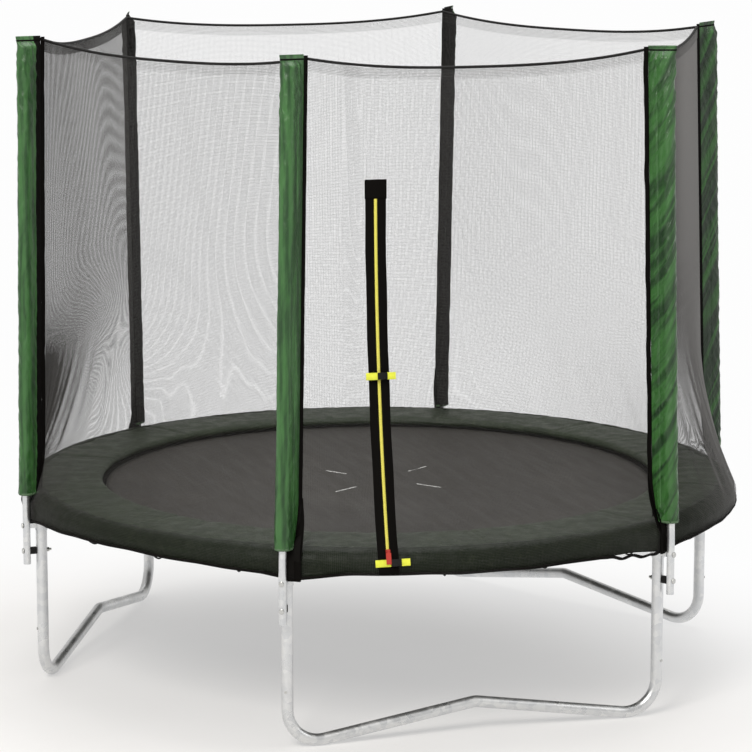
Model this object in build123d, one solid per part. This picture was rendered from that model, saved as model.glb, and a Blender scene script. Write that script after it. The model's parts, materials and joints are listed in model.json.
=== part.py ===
from build123d import *
import os
from math import acos, asin, cos, degrees, hypot, pi, radians, sin, sqrt, tan

# Backyard trampoline with an enclosure net. Millimetres, +Z up.
# The origin is on the ground under the middle of the mat, and the zipped entry panel faces -Y.

# ---- top rail, joints and legs
RAIL_RADIUS = 1200.0        # from the middle of the frame to the rail's centre line
RAIL_Z = 600.0
TUBE_R = 19.0               # rail, leg uprights and leg bases are all 38 mm tube
TUBE_WALL = 1.5
LEG_SPREAD = 1.37           # degrees by which each leg stands off a regular hexagon
RAIL_END_GAP = 12.0         # from a leg's axis to the end of the rail inside the joint
JOINT_R = 21.0
JOINT_BORE_R = 19.15
JOINT_ARM = 60.0
JOINT_SOCKET_Z = 528.0
JOINT_GUSSET_TOP = (36.0, 588.0)
JOINT_GUSSET_FOOT = (21.0, 552.0)
JOINT_GUSSET_DEPTH = 30.0
UPRIGHT_TOP_Z = 578.0
UPRIGHT_FOOT_Z = 155.0
NECK_R = 17.4               # swaged neck of a leg base, which plugs into the upright
NECK_BORE_R = 15.9
NECK_TOP_Z = 215.0
BASE_BEND_R = 105.0
BASE_MIDDLE_BEND_R = 60.0
BASE_SLOPE = 8.97           # degrees by which a base rises from its feet to its middle
SCREW_Z = 186.0
SCREW_R = 2.0
SCREW_HEAD_R = 4.6

# ---- enclosure poles
POLE_RADIUS = 1250.0        # from the middle of the frame to a pole's foot
POLE_R = 12.5
POLE_WALL = 1.2
POLE_FOOT_Z = 413.0
POLE_BEND_Z = 605.0
POLE_JOINT_Z = 1300.0
POLE_TOP_Z = 2150.0
LEAN_HEIGHT = 1575.0        # height above the bend over which each pole travels as follows
# inward, and sideways anticlockwise
POLE_TRAVEL = ((25, 0), (34, 17), (40, -10), (50, 0), (34, -32), (10, 30))
POLE_BEND_R = 400.0
POLE_NECK_R = 11.1
POLE_NECK_LENGTH = 70.0
SPACER_Z = 458.0
BRACKET_Z = 545.0
BOLT_R = 4.0
BOLT_HOLE_R = 4.2
BOLT_HEAD_R = 9.0
NUT_ACROSS_FLATS = 13.0
FOAM_R = 22.0
FOAM_Z = (662.0, 2135.0)

# ---- sleeves on the poles, each with a flap that the net is sewn to
SLEEVE_R = 24.0
SLEEVE_BORE_R = 22.4
SLEEVE_Z = (655.0, 2182.0)
SEAM_REACH = 76.0           # from a pole's axis to the net's seam, along the flap
BINDING_WIDTH = 15.0
BINDING_THICKNESS = 3.0
FLAP_TURN = (-19.0, 36.0, -20.0, -34.0, 11.0, 47.0)  # degrees from straight inward

# ---- net
NET_THICKNESS = 2.0
NET_RING_R = 1233.5         # where it hangs outside the pad's skirt
NET_FOOT_Z = 560.0
NET_FLARE_Z = 615.0
NET_CORNER_Z = 2162.0
CORNER_FLARE = 200.0        # height over which a corner swings out to the ring
PANEL_FLARE = 800.0         # the same for the middle of a panel
PANEL_BULGE = 4.0
TOP_SAG = 38.0
STRAP_WIDTH = 20.0
ROPE_R = 3.5
TIE_R = 2.5
TIES_PER_PANEL = 4

# ---- mat, rings, springs and pad
MAT_R = 944.0
MAT_TOP_Z = 619.6
MAT_THICKNESS = 2.0
MAT_EDGE_R = 1000.0
SPRINGS_PER_RAIL = 8
SPRING_Z = 607.0
SPRING_COIL_R = 10.0
SPRING_COIL = (1045.0, 1150.0)
SPRING_WIRE_R = 1.6
SPRING_SLOT = (8.0, 10.0)
RING_REACH = (976.0, 1038.0)
RING_HALF_WIDTH = 22.0
RING_WIRE = 4.0
PAD_INNER_R = 950.0
PAD_Z = (624.0, 650.0)
PAD_SHOULDER_R = 1185.0
SKIRT_R = (1222.5, 1229.0)
SKIRT_FOOT_Z = 566.0

# ---- zip and buckles in the entry panel
ZIP_TOP = (-333.0, -1019.0, 1790.0)
ZIP_FOOT = (-344.0, -1195.0, 586.0)
TAPE_WIDTH = 66.0
TAPE_THICKNESS = 1.6
COIL_WIDTH = 7.0
COIL_THICKNESS = 2.2
PATCH_HEIGHT = 60.0
PATCH_WIDTH = 70.0
SLIDER_Z = 642.0
SLIDER_SIZE = (13.0, 28.0)
SLIDER_FACE = 7.0           # how far its front stands off the tape's middle
PULL_SIZE = (16.0, 36.0, 2.4)
PULL_PIVOT_UP = 9.0
PULL_PIVOT_OUT = 9.6
PULL_PIN_R = 1.2
PULL_EAR_PLACE = 5.0
PULL_NECK = 6.0
UPPER_BUCKLE_Z = 1182.0
UPPER_BUCKLE_PLACE = 8.0    # across the zip, to the middle of the buckle
UPPER_BUCKLE_OUT = 15.0     # clear of the slider as it passes
LOWER_BUCKLE_Z = 614.0
LOWER_BUCKLE_PLACE = 26.0
LOWER_BUCKLE_OUT = 5.0
LOWER_BUCKLE_TURN = 8.0     # degrees that it turns to lie along the ring
PLUG_WEBBING_LENGTH = 27.0
BUCKLE_HEIGHT = 22.0
BUCKLE_THICKNESS = 7.0
WEBBING_HEIGHT = 23.0
WEBBING_THICKNESS = 1.5

LEG_ANGLES = [60 * (k + 3) % 360 + LEG_SPREAD * (1, -1)[k % 2] for k in range(6)]
LEG_BASES = {"front": (1, 2), "right": (3, 4), "left": (5, 0)}
PANEL_NAMES = ["left_front", "front", "right_front", "right_back", "back", "left_back"]


def unit(angle):
    """Unit vector at an angle round the frame."""
    return Vector(cos(radians(angle)), sin(radians(angle)), 0)


def around(angle, shape):
    """A shape made over the +X axis, turned round the frame."""
    return Rot(0, 0, angle) * shape


def span(start, end):
    """Degrees from one leg to the next, anticlockwise."""
    return (end - start) % 360


def ring_tube(radius, z, tube_r, start, end):
    """Solid bar bent round the frame from one angle to another."""
    section = Plane.XZ * Pos(radius, z) * Circle(tube_r)
    return around(start, revolve(section, Axis.Z, end - start))


def rod(r, length):
    """Cylinder that stands on the origin."""
    return Cylinder(r, length, align=(Align.CENTER, Align.CENTER, Align.MIN))


def upright(radius, z_low, z_high, r):
    """Vertical cylinder over the +X axis."""
    return Pos(radius, 0, z_low) * rod(r, z_high - z_low)


def radial_pin(z, r, start, end):
    """Cylinder that lies along the radius, over the +X axis."""
    return Pos(start, 0, z) * Rot(0, 90, 0) * rod(r, end - start)


def swept(points, bend_radii, r):
    """Round bar along straight runs joined by tangent arcs."""
    path = FilletPolyline(*points, radius=bend_radii)
    start = Plane(origin=path @ 0, z_dir=path % 0)
    return sweep(start * Circle(r), path)


def pole_lean(k):
    """How far pole k travels inward and sideways for each millimetre of height above its bend."""
    inward, sideways = POLE_TRAVEL[k]
    return inward / LEAN_HEIGHT, sideways / LEAN_HEIGHT


def pole_centre(k, z):
    """Pole k's axis at a height: out from the middle along its leg's angle, and sideways."""
    inward, sideways = pole_lean(k)
    rise = max(0.0, z - POLE_BEND_Z)
    return POLE_RADIUS - inward * rise, sideways * rise


# ---------------------------------------------------------------- frame
def make_rail(k):
    start = LEG_ANGLES[k]
    gap = degrees(RAIL_END_GAP / RAIL_RADIUS)
    end = start + span(start, LEG_ANGLES[(k + 1) % 6])
    rail = ring_tube(RAIL_RADIUS, RAIL_Z, TUBE_R, start + gap, end - gap)
    rail -= ring_tube(RAIL_RADIUS, RAIL_Z, TUBE_R - TUBE_WALL, start, end)
    slot = Pos(RAIL_RADIUS - TUBE_R, 0, SPRING_Z) * Box(24, *SPRING_SLOT)
    return rail - [around(angle, slot) for angle in spring_angles(k)]


def spring_angles(k):
    start = LEG_ANGLES[k]
    step = span(start, LEG_ANGLES[(k + 1) % 6]) / SPRINGS_PER_RAIL
    return [start + step * (i + 0.5) for i in range(SPRINGS_PER_RAIL)]


def make_t_joint(angle):
    arm = degrees(JOINT_ARM / RAIL_RADIUS)
    top, foot = JOINT_GUSSET_TOP, JOINT_GUSSET_FOOT
    corners = (-top[0], top[1]), (top[0], top[1]), (foot[0], foot[1]), (-foot[0], foot[1])
    outline = Polygon(*corners, align=None)
    gusset_plane = Plane(origin=(RAIL_RADIUS, 0, 0), x_dir=(0, 1, 0), z_dir=(1, 0, 0))
    joint = ring_tube(RAIL_RADIUS, RAIL_Z, JOINT_R, -arm, arm)
    joint += upright(RAIL_RADIUS, JOINT_SOCKET_Z, RAIL_Z, JOINT_R)
    joint += extrude(gusset_plane * outline, JOINT_GUSSET_DEPTH / 2, both=True)
    joint -= ring_tube(RAIL_RADIUS, RAIL_Z, JOINT_BORE_R, -arm - 1, arm + 1)
    joint -= upright(RAIL_RADIUS, JOINT_SOCKET_Z - 1, RAIL_Z, JOINT_BORE_R)
    joint -= radial_pin(BRACKET_Z, BOLT_HOLE_R, RAIL_RADIUS - 40, RAIL_RADIUS + 40)
    return around(angle, joint)


def make_leg_upright(angle):
    leg = upright(RAIL_RADIUS, UPRIGHT_FOOT_Z, UPRIGHT_TOP_Z, TUBE_R)
    leg -= upright(RAIL_RADIUS, UPRIGHT_FOOT_Z - 1, UPRIGHT_TOP_Z + 1, TUBE_R - TUBE_WALL)
    for z in (SPACER_Z, BRACKET_Z):
        leg -= radial_pin(z, BOLT_HOLE_R, RAIL_RADIUS - 40, RAIL_RADIUS + 40)
    leg -= radial_pin(SCREW_Z, SCREW_R + 0.1, RAIL_RADIUS, RAIL_RADIUS + 40)
    return around(angle, leg)


def base_path(start, end):
    """Corner points of a leg base, from the foot of one upright to the next, and its bend radii."""
    slope = radians(BASE_SLOPE)
    corner_z = TUBE_R + BASE_BEND_R - BASE_BEND_R * cos(slope) - BASE_BEND_R * (1 + sin(slope)) * tan(slope)
    middle_z = corner_z + (end - start).length / 2 * tan(slope)
    middle = (start + end) / 2
    places = [start, start, middle, end, end]
    heights = [UPRIGHT_FOOT_Z, corner_z, middle_z, corner_z, UPRIGHT_FOOT_Z]
    points = [Vector(p.X, p.Y, z) for p, z in zip(places, heights)]
    return points, [BASE_BEND_R, BASE_MIDDLE_BEND_R, BASE_BEND_R]


def make_leg_base(first, second):
    start = unit(LEG_ANGLES[first]) * RAIL_RADIUS
    end = unit(LEG_ANGLES[second]) * RAIL_RADIUS
    points, bends = base_path(start, end)
    base = swept(points, bends, TUBE_R) - swept(points, bends, TUBE_R - TUBE_WALL)
    for angle in (LEG_ANGLES[first], LEG_ANGLES[second]):
        neck = upright(RAIL_RADIUS, UPRIGHT_FOOT_Z, NECK_TOP_Z, NECK_R)
        neck += upright(RAIL_RADIUS, UPRIGHT_FOOT_Z - 5, UPRIGHT_FOOT_Z, TUBE_R - TUBE_WALL / 2)
        neck -= upright(RAIL_RADIUS, UPRIGHT_FOOT_Z - 6, NECK_TOP_Z + 1, NECK_BORE_R)
        neck -= radial_pin(SCREW_Z, SCREW_R + 0.1, RAIL_RADIUS, RAIL_RADIUS + 40)
        base += around(angle, neck)
    return base


def make_leg_screw(angle):
    surface = RAIL_RADIUS + TUBE_R
    shank = radial_pin(SCREW_Z, SCREW_R, surface - 12, surface + 1)
    head = radial_pin(SCREW_Z, SCREW_HEAD_R, surface + 0.1, surface + 2.6)
    return around(angle, shank + head)


# ---------------------------------------------------------------- poles and their fasteners
def pole_frame(k, turn=0.0):
    """Place of pole k's bend, over the +X axis: Z up the leaning pole, X inward, then turned about it."""
    inward, sideways = pole_lean(k)
    axis = Vector(-inward, sideways, 1).normalized()
    toward = Vector(-1, 0, 0).rotate(Axis.Z, -turn)
    square = (toward - axis * toward.dot(axis)).normalized()
    return Plane(origin=(POLE_RADIUS, 0, POLE_BEND_Z), x_dir=square, z_dir=axis).location


def along_pole(k, z):
    """Length up a leaning pole from its bend to a height."""
    return (z - POLE_BEND_Z) * hypot(1, *pole_lean(k))


def pole_bar(k, z_low, z_high, r):
    low, high = along_pole(k, z_low), along_pole(k, z_high)
    return pole_frame(k) * Pos(0, 0, low) * rod(r, high - low)


def make_pole_lower(k):
    out, sideways = pole_centre(k, POLE_JOINT_Z)
    top = Vector(out, sideways, POLE_JOINT_Z)
    points = [Vector(POLE_RADIUS, 0, POLE_FOOT_Z), Vector(POLE_RADIUS, 0, POLE_BEND_Z), top]
    pole = swept(points, [POLE_BEND_R], POLE_R) - swept(points, [POLE_BEND_R], POLE_R - POLE_WALL)
    for z in (SPACER_Z, BRACKET_Z):
        pole -= radial_pin(z, BOLT_HOLE_R, POLE_RADIUS - 30, POLE_RADIUS + 30)
    neck = pole_bar(k, POLE_JOINT_Z, POLE_JOINT_Z + POLE_NECK_LENGTH, POLE_NECK_R)
    neck += pole_bar(k, POLE_JOINT_Z - 4, POLE_JOINT_Z, POLE_R - POLE_WALL / 2)
    neck -= pole_bar(k, POLE_JOINT_Z - 5, POLE_JOINT_Z + POLE_NECK_LENGTH + 1, POLE_NECK_R - POLE_WALL)
    return around(LEG_ANGLES[k], pole + neck)


def make_pole_upper(k):
    outer = pole_bar(k, POLE_JOINT_Z + 0.2, POLE_TOP_Z, POLE_R)
    bore = pole_bar(k, POLE_JOINT_Z - 1, POLE_TOP_Z - POLE_WALL, POLE_R - POLE_WALL)
    return around(LEG_ANGLES[k], outer - bore)


def make_pole_foam(k):
    foam = pole_bar(k, *FOAM_Z, FOAM_R) - pole_bar(k, FOAM_Z[0] - 1, FOAM_Z[1] + 1, POLE_R + 0.2)
    return around(LEG_ANGLES[k], foam)


def flap_section(outer_r, tip_r, reach):
    """Teardrop: a round tube with a flap along +X."""
    outline = make_hull(Circle(outer_r).edges() + (Pos(reach - tip_r, 0) * Circle(tip_r)).edges())
    return outline


def make_pole_sleeve(k):
    low, high = along_pole(k, SLEEVE_Z[0]), along_pole(k, SLEEVE_Z[1])
    reach = SEAM_REACH - BINDING_WIDTH - 1.0
    sleeve = extrude(Pos(0, 0, low) * flap_section(SLEEVE_R, 3.0, reach), high - low)
    bore = rod(SLEEVE_BORE_R, high - low - 3)
    corner = Polygon((SLEEVE_R - 1, low - 1), (reach + 20, low - 1), (reach + 20, low + 150), align=None)
    sleeve -= Pos(0, 0, low - 1) * bore
    sleeve -= extrude(Plane.XZ * corner, 40, both=True)
    return around(LEG_ANGLES[k], pole_frame(k, FLAP_TURN[k]) * sleeve)


def make_saddle(z, leg_r, width, height):
    """Block between a leg and its pole, hollowed to sit on both and drilled for the bolt."""
    block = Pos((RAIL_RADIUS + POLE_RADIUS) / 2, 0, z) * Box(30, width, height)
    block -= upright(RAIL_RADIUS, z - height, z + height, leg_r + 0.15)
    block -= upright(POLE_RADIUS, z - height, z + height, POLE_R + 0.15)
    return block - radial_pin(z, BOLT_HOLE_R, RAIL_RADIUS, POLE_RADIUS)


def make_pole_bolt(angle, z):
    face = POLE_RADIUS + POLE_R
    shank = radial_pin(z, BOLT_R, RAIL_RADIUS - TUBE_R - 14, face + 1)
    dome = Pos(face + 0.2, 0, z) * Rot(0, 90, 0) * rod(BOLT_HEAD_R, 4)
    dome = fillet(dome.faces().sort_by(Axis.X)[-1].edges(), 3)
    return around(angle, shank + dome)


def make_pole_nut(angle, z, leg_r):
    nut = RegularPolygon(NUT_ACROSS_FLATS / 2, 6, major_radius=False) - Circle(BOLT_R + 0.15)
    nut_plane = Plane(origin=(RAIL_RADIUS - leg_r - 0.2, 0, z), x_dir=(0, 1, 0), z_dir=(-1, 0, 0))
    return around(angle, extrude(nut_plane * nut, 6.5))


# ---------------------------------------------------------------- net
def smooth_flare(z, height):
    """1 at the ring and 0 where the flare has died out."""
    return max(0.0, 1 - max(0.0, z - NET_FLARE_Z) / height) ** 2


def seam_place(k, z):
    """The net's seam on pole k's flap, above the flare: out from the middle, and sideways."""
    turn = radians(FLAP_TURN[k])
    out, sideways = pole_centre(k, z)
    return out - SEAM_REACH * cos(turn), sideways + SEAM_REACH * sin(turn)


def net_corner(k, z, flare=CORNER_FLARE):
    """Where the net meets pole k at a height: on the flap's seam, and out at the ring near its foot."""
    upper, sideways = seam_place(k, z)
    ring = sqrt(NET_RING_R**2 - sideways**2)
    out = upper + (ring - upper) * (smooth_flare(z, flare) if flare else 0)
    angle = LEG_ANGLES[k]
    point = unit(angle) * out + unit(angle + 90) * sideways
    return Vector(point.X, point.Y, z)


def panel_section(k, z):
    """Thin curved strip: a horizontal cut through the panel between poles k and k + 1."""
    following = (k + 1) % 6
    first, second = net_corner(k, z), net_corner(following, z)
    straight = (net_corner(k, z, 0) + net_corner(following, z, 0)) / 2
    chord = hypot(straight.X, straight.Y) + PANEL_BULGE
    middle_angle = degrees(acos(straight.X / hypot(straight.X, straight.Y)))
    middle_angle = middle_angle if straight.Y > 0 else -middle_angle
    out = chord + (NET_RING_R - chord) * smooth_flare(z, PANEL_FLARE)
    middle = unit(middle_angle) * out + Vector(0, 0, z)
    along = Vector(second.X - first.X, second.Y - first.Y, 0).normalized() * (BINDING_THICKNESS / 2 + 1)
    ends = [first + along, second - along]
    inner_ends = [p - Vector(p.X, p.Y, 0).normalized() * NET_THICKNESS for p in ends]
    inner_middle = middle - unit(middle_angle) * NET_THICKNESS
    edges = [
        ThreePointArc(ends[0], middle, ends[1]),
        Line(ends[1], inner_ends[1]),
        ThreePointArc(inner_ends[1], inner_middle, inner_ends[0]),
        Line(inner_ends[0], ends[0]),
    ]
    return make_face(Wire(edges))


def panel_heights():
    low = [NET_FOOT_Z, NET_FLARE_Z]
    swing = [NET_FLARE_Z + CORNER_FLARE * s for s in (0.15, 0.35, 0.6, 1.0)]
    rise = [NET_FLARE_Z + PANEL_FLARE * s for s in (0.45, 0.7, 1.0)]
    return low + swing + rise + [NET_CORNER_Z]


def make_panel(k):
    sections = [panel_section(k, z) for z in panel_heights()]
    panel = loft(sections, ruled=True)
    first, second = net_corner(k, NET_CORNER_Z), net_corner((k + 1) % 6, NET_CORNER_Z)
    middle = (first + second) / 2 - Vector(0, 0, TOP_SAG)
    arc = ThreePointArc(first, middle, second)
    lift = Vector(0, 0, 60)
    lid = [Line(second, second + lift), Line(second + lift, first + lift), Line(first + lift, first)]
    return panel - extrude(make_face(Wire([arc, *lid])), 60, both=True)


def make_rope():
    """Rope through the net's top hem: a sagging arc between each pair of poles."""
    spans = []
    for k in range(6):
        first, second = net_corner(k, NET_CORNER_Z), net_corner((k + 1) % 6, NET_CORNER_Z)
        up = Vector(0, 0, ROPE_R + 0.5)
        along = (second - first).normalized() * (BINDING_THICKNESS / 2 + 1)
        middle = (first + second) / 2 - Vector(0, 0, TOP_SAG)
        path = ThreePointArc(first + along + up, middle + up, second - along + up)
        spans.append(sweep(Plane(origin=path @ 0, z_dir=path % 0) * Circle(ROPE_R), path))
    return spans


def make_binding(k):
    """Strip that closes the flap, and the strap that carries on over the pad to the frame."""
    low, high = along_pole(k, NET_FLARE_Z + CORNER_FLARE), along_pole(k, NET_CORNER_Z)
    strip = Box(BINDING_WIDTH, BINDING_THICKNESS, high - low)
    place = Pos(SEAM_REACH - BINDING_WIDTH / 2, 0, (low + high) / 2)
    return around(LEG_ANGLES[k], pole_frame(k, FLAP_TURN[k]) * place * strip)


def make_strap(k):
    sections = []
    for z in (NET_FOOT_Z, NET_FLARE_Z, *[NET_FLARE_Z + CORNER_FLARE * s for s in (0.15, 0.35, 0.6, 0.99)]):
        point = net_corner(k, z)
        outward = Vector(point.X, point.Y, 0).normalized()
        across = Plane(origin=point + outward * 1.6, x_dir=outward, z_dir=(0, 0, 1))
        sections.append(across * Rectangle(1.8, STRAP_WIDTH))
    return loft(sections, ruled=True)


def make_tie(angle):
    """Short cord from the net's foot, under the rail, to the rail's inner side."""
    points = [(NET_RING_R - 1, NET_FOOT_Z - 3), (1221, 548), (1196, 556), (1176, 574)]
    path = FilletPolyline(*[Vector(r, 0, z) for r, z in points], radius=[12, 14])
    return around(angle, sweep(Plane(origin=path @ 0, z_dir=path % 0) * Circle(TIE_R), path))


def tie_angles(k):
    start = LEG_ANGLES[k]
    width = span(start, LEG_ANGLES[(k + 1) % 6])
    return [start + width * (i + 0.5) / TIES_PER_PANEL for i in range(TIES_PER_PANEL)]


# ---------------------------------------------------------------- mat, springs and pad
def make_mat():
    return Pos(0, 0, MAT_TOP_Z - MAT_THICKNESS) * rod(MAT_R, MAT_THICKNESS)


def make_mat_border():
    ring = Circle(MAT_EDGE_R) - Circle(MAT_R + 0.3)
    return Pos(0, 0, MAT_TOP_Z - 5) * extrude(ring, 5)


def make_v_ring(angle):
    inner, outer = RING_REACH
    wide = Polygon((inner, -RING_HALF_WIDTH), (inner, RING_HALF_WIDTH), (outer, 4), (outer, -4), align=None)
    hole = offset(wide, -RING_WIRE, kind=Kind.INTERSECTION)
    place = Pos(0, 0, MAT_TOP_Z - 5 - 0.6 - RING_WIRE)
    return around(angle, place * extrude(wide - hole, RING_WIRE, dir=(0, 0, 1)))


def make_spring(angle):
    """Coil body with a hook at each end: one to the ring on the mat and one into the rail."""
    coil = radial_pin(SPRING_Z, SPRING_COIL_R, *SPRING_COIL)
    coil -= radial_pin(SPRING_Z, SPRING_COIL_R - 3.2, *SPRING_COIL)
    inner_hook = radial_pin(SPRING_Z, SPRING_WIRE_R, RING_REACH[1] - 12, SPRING_COIL[0] + 2)
    outer_hook = radial_pin(SPRING_Z, SPRING_WIRE_R, SPRING_COIL[1] - 2, RAIL_RADIUS - TUBE_R + 6)
    discs = [radial_pin(SPRING_Z, SPRING_COIL_R - 1, x, x + 3) for x in (SPRING_COIL[0], SPRING_COIL[1] - 3)]
    return around(angle, coil + discs[0] + discs[1] + inner_hook + outer_hook)


def make_pad():
    """Ring of padding over the springs, with a skirt down the outside of the rail."""
    top, low = PAD_Z[1], PAD_Z[0]
    shoulder = (PAD_SHOULDER_R, RAIL_Z)
    reach, rise = SKIRT_R[1] - PAD_SHOULDER_R, top - RAIL_Z
    outline = [
        Line((PAD_INNER_R, low), (PAD_INNER_R, top)),
        Line((PAD_INNER_R, top), (PAD_SHOULDER_R, top)),
        EllipticalCenterArc(shoulder, reach, rise, start_angle=0, arc_size=90),
        Line((SKIRT_R[1], RAIL_Z), (SKIRT_R[1], SKIRT_FOOT_Z)),
        Line((SKIRT_R[1], SKIRT_FOOT_Z), (SKIRT_R[0], SKIRT_FOOT_Z)),
        Line((SKIRT_R[0], SKIRT_FOOT_Z), (SKIRT_R[0], RAIL_Z + 8)),
        Line((SKIRT_R[0], RAIL_Z + 8), (SKIRT_R[0] - 8, low)),
        Line((SKIRT_R[0] - 8, low), (PAD_INNER_R, low)),
    ]
    return revolve(Plane.XZ * make_face(Wire(outline)), Axis.Z, 360)


# ---------------------------------------------------------------- zip and buckles
ZIP_OUT = hypot(ZIP_FOOT[0] - ZIP_TOP[0], ZIP_FOOT[1] - ZIP_TOP[1])
ZIP_DROP = ZIP_TOP[2] - ZIP_FOOT[2]
ZIP_R = (ZIP_OUT**2 + ZIP_DROP**2) / (2 * ZIP_OUT)  # the tape hangs on an arc, upright at its top
OUTWARD = Vector(ZIP_FOOT[0] - ZIP_TOP[0], ZIP_FOOT[1] - ZIP_TOP[1], 0).normalized()
SIDEWAYS = OUTWARD.cross(Vector(0, 0, -1))
ZIP_CENTRE = Vector(*ZIP_TOP) + OUTWARD * ZIP_R


def zip_angle(z):
    return asin((ZIP_TOP[2] - z) / ZIP_R)


def zip_plane(z):
    """Plane on the tape at a height: X across it, Y into the net, Z up it."""
    angle = zip_angle(z)
    origin = ZIP_CENTRE - OUTWARD * (ZIP_R * cos(angle)) - Vector(0, 0, ZIP_R * sin(angle))
    upward = Vector(0, 0, cos(angle)) - OUTWARD * sin(angle)
    return Plane(origin=origin, x_dir=SIDEWAYS, z_dir=upward)


def zip_band(z_low, z_high, width, inner, outer):
    """Curved strip on the tape's arc, between two distances out from the tape's middle surface."""
    side = Plane(origin=ZIP_CENTRE - SIDEWAYS * (width / 2), x_dir=-OUTWARD, z_dir=SIDEWAYS)
    low, high = -degrees(zip_angle(z_low)), -degrees(zip_angle(z_high))
    arcs = [CenterArc((0, 0), ZIP_R - out, low, high - low) for out in (inner, outer)]
    ends = [Line(arcs[0] @ 1, arcs[1] @ 1), Line(arcs[1] @ 0, arcs[0] @ 0)]
    return extrude(side * make_face(Wire([*arcs, *ends])), width)


def on_zip(z, across, out, up, size, turn=0.0):
    """Box in front of the tape: size is (across, out, up), and the place is the middle of its back face."""
    box = Box(*size, align=(Align.CENTER, Align.MAX, Align.CENTER))
    return zip_plane(z).location * Rot(0, 0, -turn) * Pos(across, -out, up) * box


def zip_pin(across, out, up, r, length):
    """Pin that lies across the tape at the slider's height."""
    return zip_plane(SLIDER_Z).location * Pos(across, -out, up) * Rot(0, 90, 0) * Cylinder(r, length)


def make_zip_tapes():
    half = TAPE_THICKNESS / 2
    tape = zip_band(ZIP_FOOT[2], ZIP_TOP[2], TAPE_WIDTH, -half, half)
    patch = zip_band(ZIP_TOP[2] - PATCH_HEIGHT, ZIP_TOP[2], PATCH_WIDTH, half + 0.1, half + 1.8)
    return [tape, patch]


def make_zip_coil():
    low, high = ZIP_FOOT[2] + 6, ZIP_TOP[2] - PATCH_HEIGHT - 0.5
    start = TAPE_THICKNESS / 2 + 0.1
    return zip_band(low, high, COIL_WIDTH, start, start + COIL_THICKNESS)


def make_zip_slider():
    width, height = SLIDER_SIZE
    coil_face = TAPE_THICKNESS / 2 + 0.1 + COIL_THICKNESS
    back = TAPE_THICKNESS / 2 + 0.4
    body = on_zip(SLIDER_Z, 0, back, 0, (width, SLIDER_FACE - back, height))
    body -= on_zip(SLIDER_Z, 0, back - 1, 0, (COIL_WIDTH + 1.2, coil_face + 0.5 - back + 1, height + 2))
    for across in (-PULL_EAR_PLACE, PULL_EAR_PLACE):
        body += on_zip(SLIDER_Z, across, SLIDER_FACE - 0.5, PULL_PIVOT_UP, (2, 5, 5))
    return body + zip_pin(0, PULL_PIVOT_OUT, PULL_PIVOT_UP, PULL_PIN_R, 2 * PULL_EAR_PLACE)


def make_zip_pull():
    width, height, thickness = PULL_SIZE
    near = PULL_PIVOT_OUT - thickness / 2
    neck = 2 * PULL_EAR_PLACE - 3
    tag = on_zip(SLIDER_Z, 0, near, PULL_PIVOT_UP - PULL_NECK - height / 2, (width, thickness, height))
    tag += on_zip(SLIDER_Z, 0, near, PULL_PIVOT_UP - PULL_NECK / 2 - 0.5, (neck, thickness, PULL_NECK + 1))
    tag += zip_pin(0, PULL_PIVOT_OUT, PULL_PIVOT_UP, 2.4, neck)
    return tag - zip_pin(0, PULL_PIVOT_OUT, PULL_PIVOT_UP, PULL_PIN_R + 0.1, neck + 2)


def make_buckle(z, centre, out, turn):
    """Side-release buckle in front of the zip: a hollow socket, and a plug with two prongs."""
    thick, tall = BUCKLE_THICKNESS, BUCKLE_HEIGHT
    socket = on_zip(z, centre - 6, out, 0, (20, thick, tall), turn)
    socket -= on_zip(z, centre - 3, out + 1.4, 0, (18, thick - 2.8, tall - 5), turn)
    plug = on_zip(z, centre + 9.5, out, 0, (10, thick, tall - 2), turn)
    for side in (-1, 1):
        plug += on_zip(z, centre, out + 1.8, side * (tall / 2 - 5.2), (18, thick - 3.6, 4), turn)
    return socket, plug


def make_webbing(z, start, end, out, turn=0.0):
    middle = (start + end) / 2
    return on_zip(z, middle, out, 0, (end - start, WEBBING_THICKNESS, WEBBING_HEIGHT), turn)


# ---------------------------------------------------------------- the parts, by node name
parts = {}
for k in range(6):
    parts[f"top_rail_{k + 1}"] = [make_rail(k)]
    parts[f"leg_upright_{k + 1}"] = [make_leg_upright(LEG_ANGLES[k])]
    parts[f"pole_lower_{k + 1}"] = [make_pole_lower(k)]
    parts[f"pole_upper_{k + 1}"] = [make_pole_upper(k)]
for side, (first, second) in LEG_BASES.items():
    parts[f"leg_base_{side}"] = [make_leg_base(first, second)]

bolt_levels = ((SPACER_Z, TUBE_R), (BRACKET_Z, JOINT_R))
bolt_places = [(angle, z, leg_r) for angle in LEG_ANGLES for z, leg_r in bolt_levels]
parts["t_joints"] = [make_t_joint(angle) for angle in LEG_ANGLES]
parts["leg_screws"] = [make_leg_screw(angle) for angle in LEG_ANGLES]
parts["pole_foams"] = [make_pole_foam(k) for k in range(6)]
parts["pole_sleeves"] = [make_pole_sleeve(k) for k in range(6)]
parts["pole_spacers"] = [around(angle, make_saddle(SPACER_Z, TUBE_R, 16, 22)) for angle in LEG_ANGLES]
parts["pole_brackets"] = [around(angle, make_saddle(BRACKET_Z, JOINT_R, 22, 16)) for angle in LEG_ANGLES]
parts["pole_bolts"] = [make_pole_bolt(angle, z) for angle, z, leg_r in bolt_places]
parts["pole_nuts"] = [make_pole_nut(angle, z, leg_r) for angle, z, leg_r in bolt_places]

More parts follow.
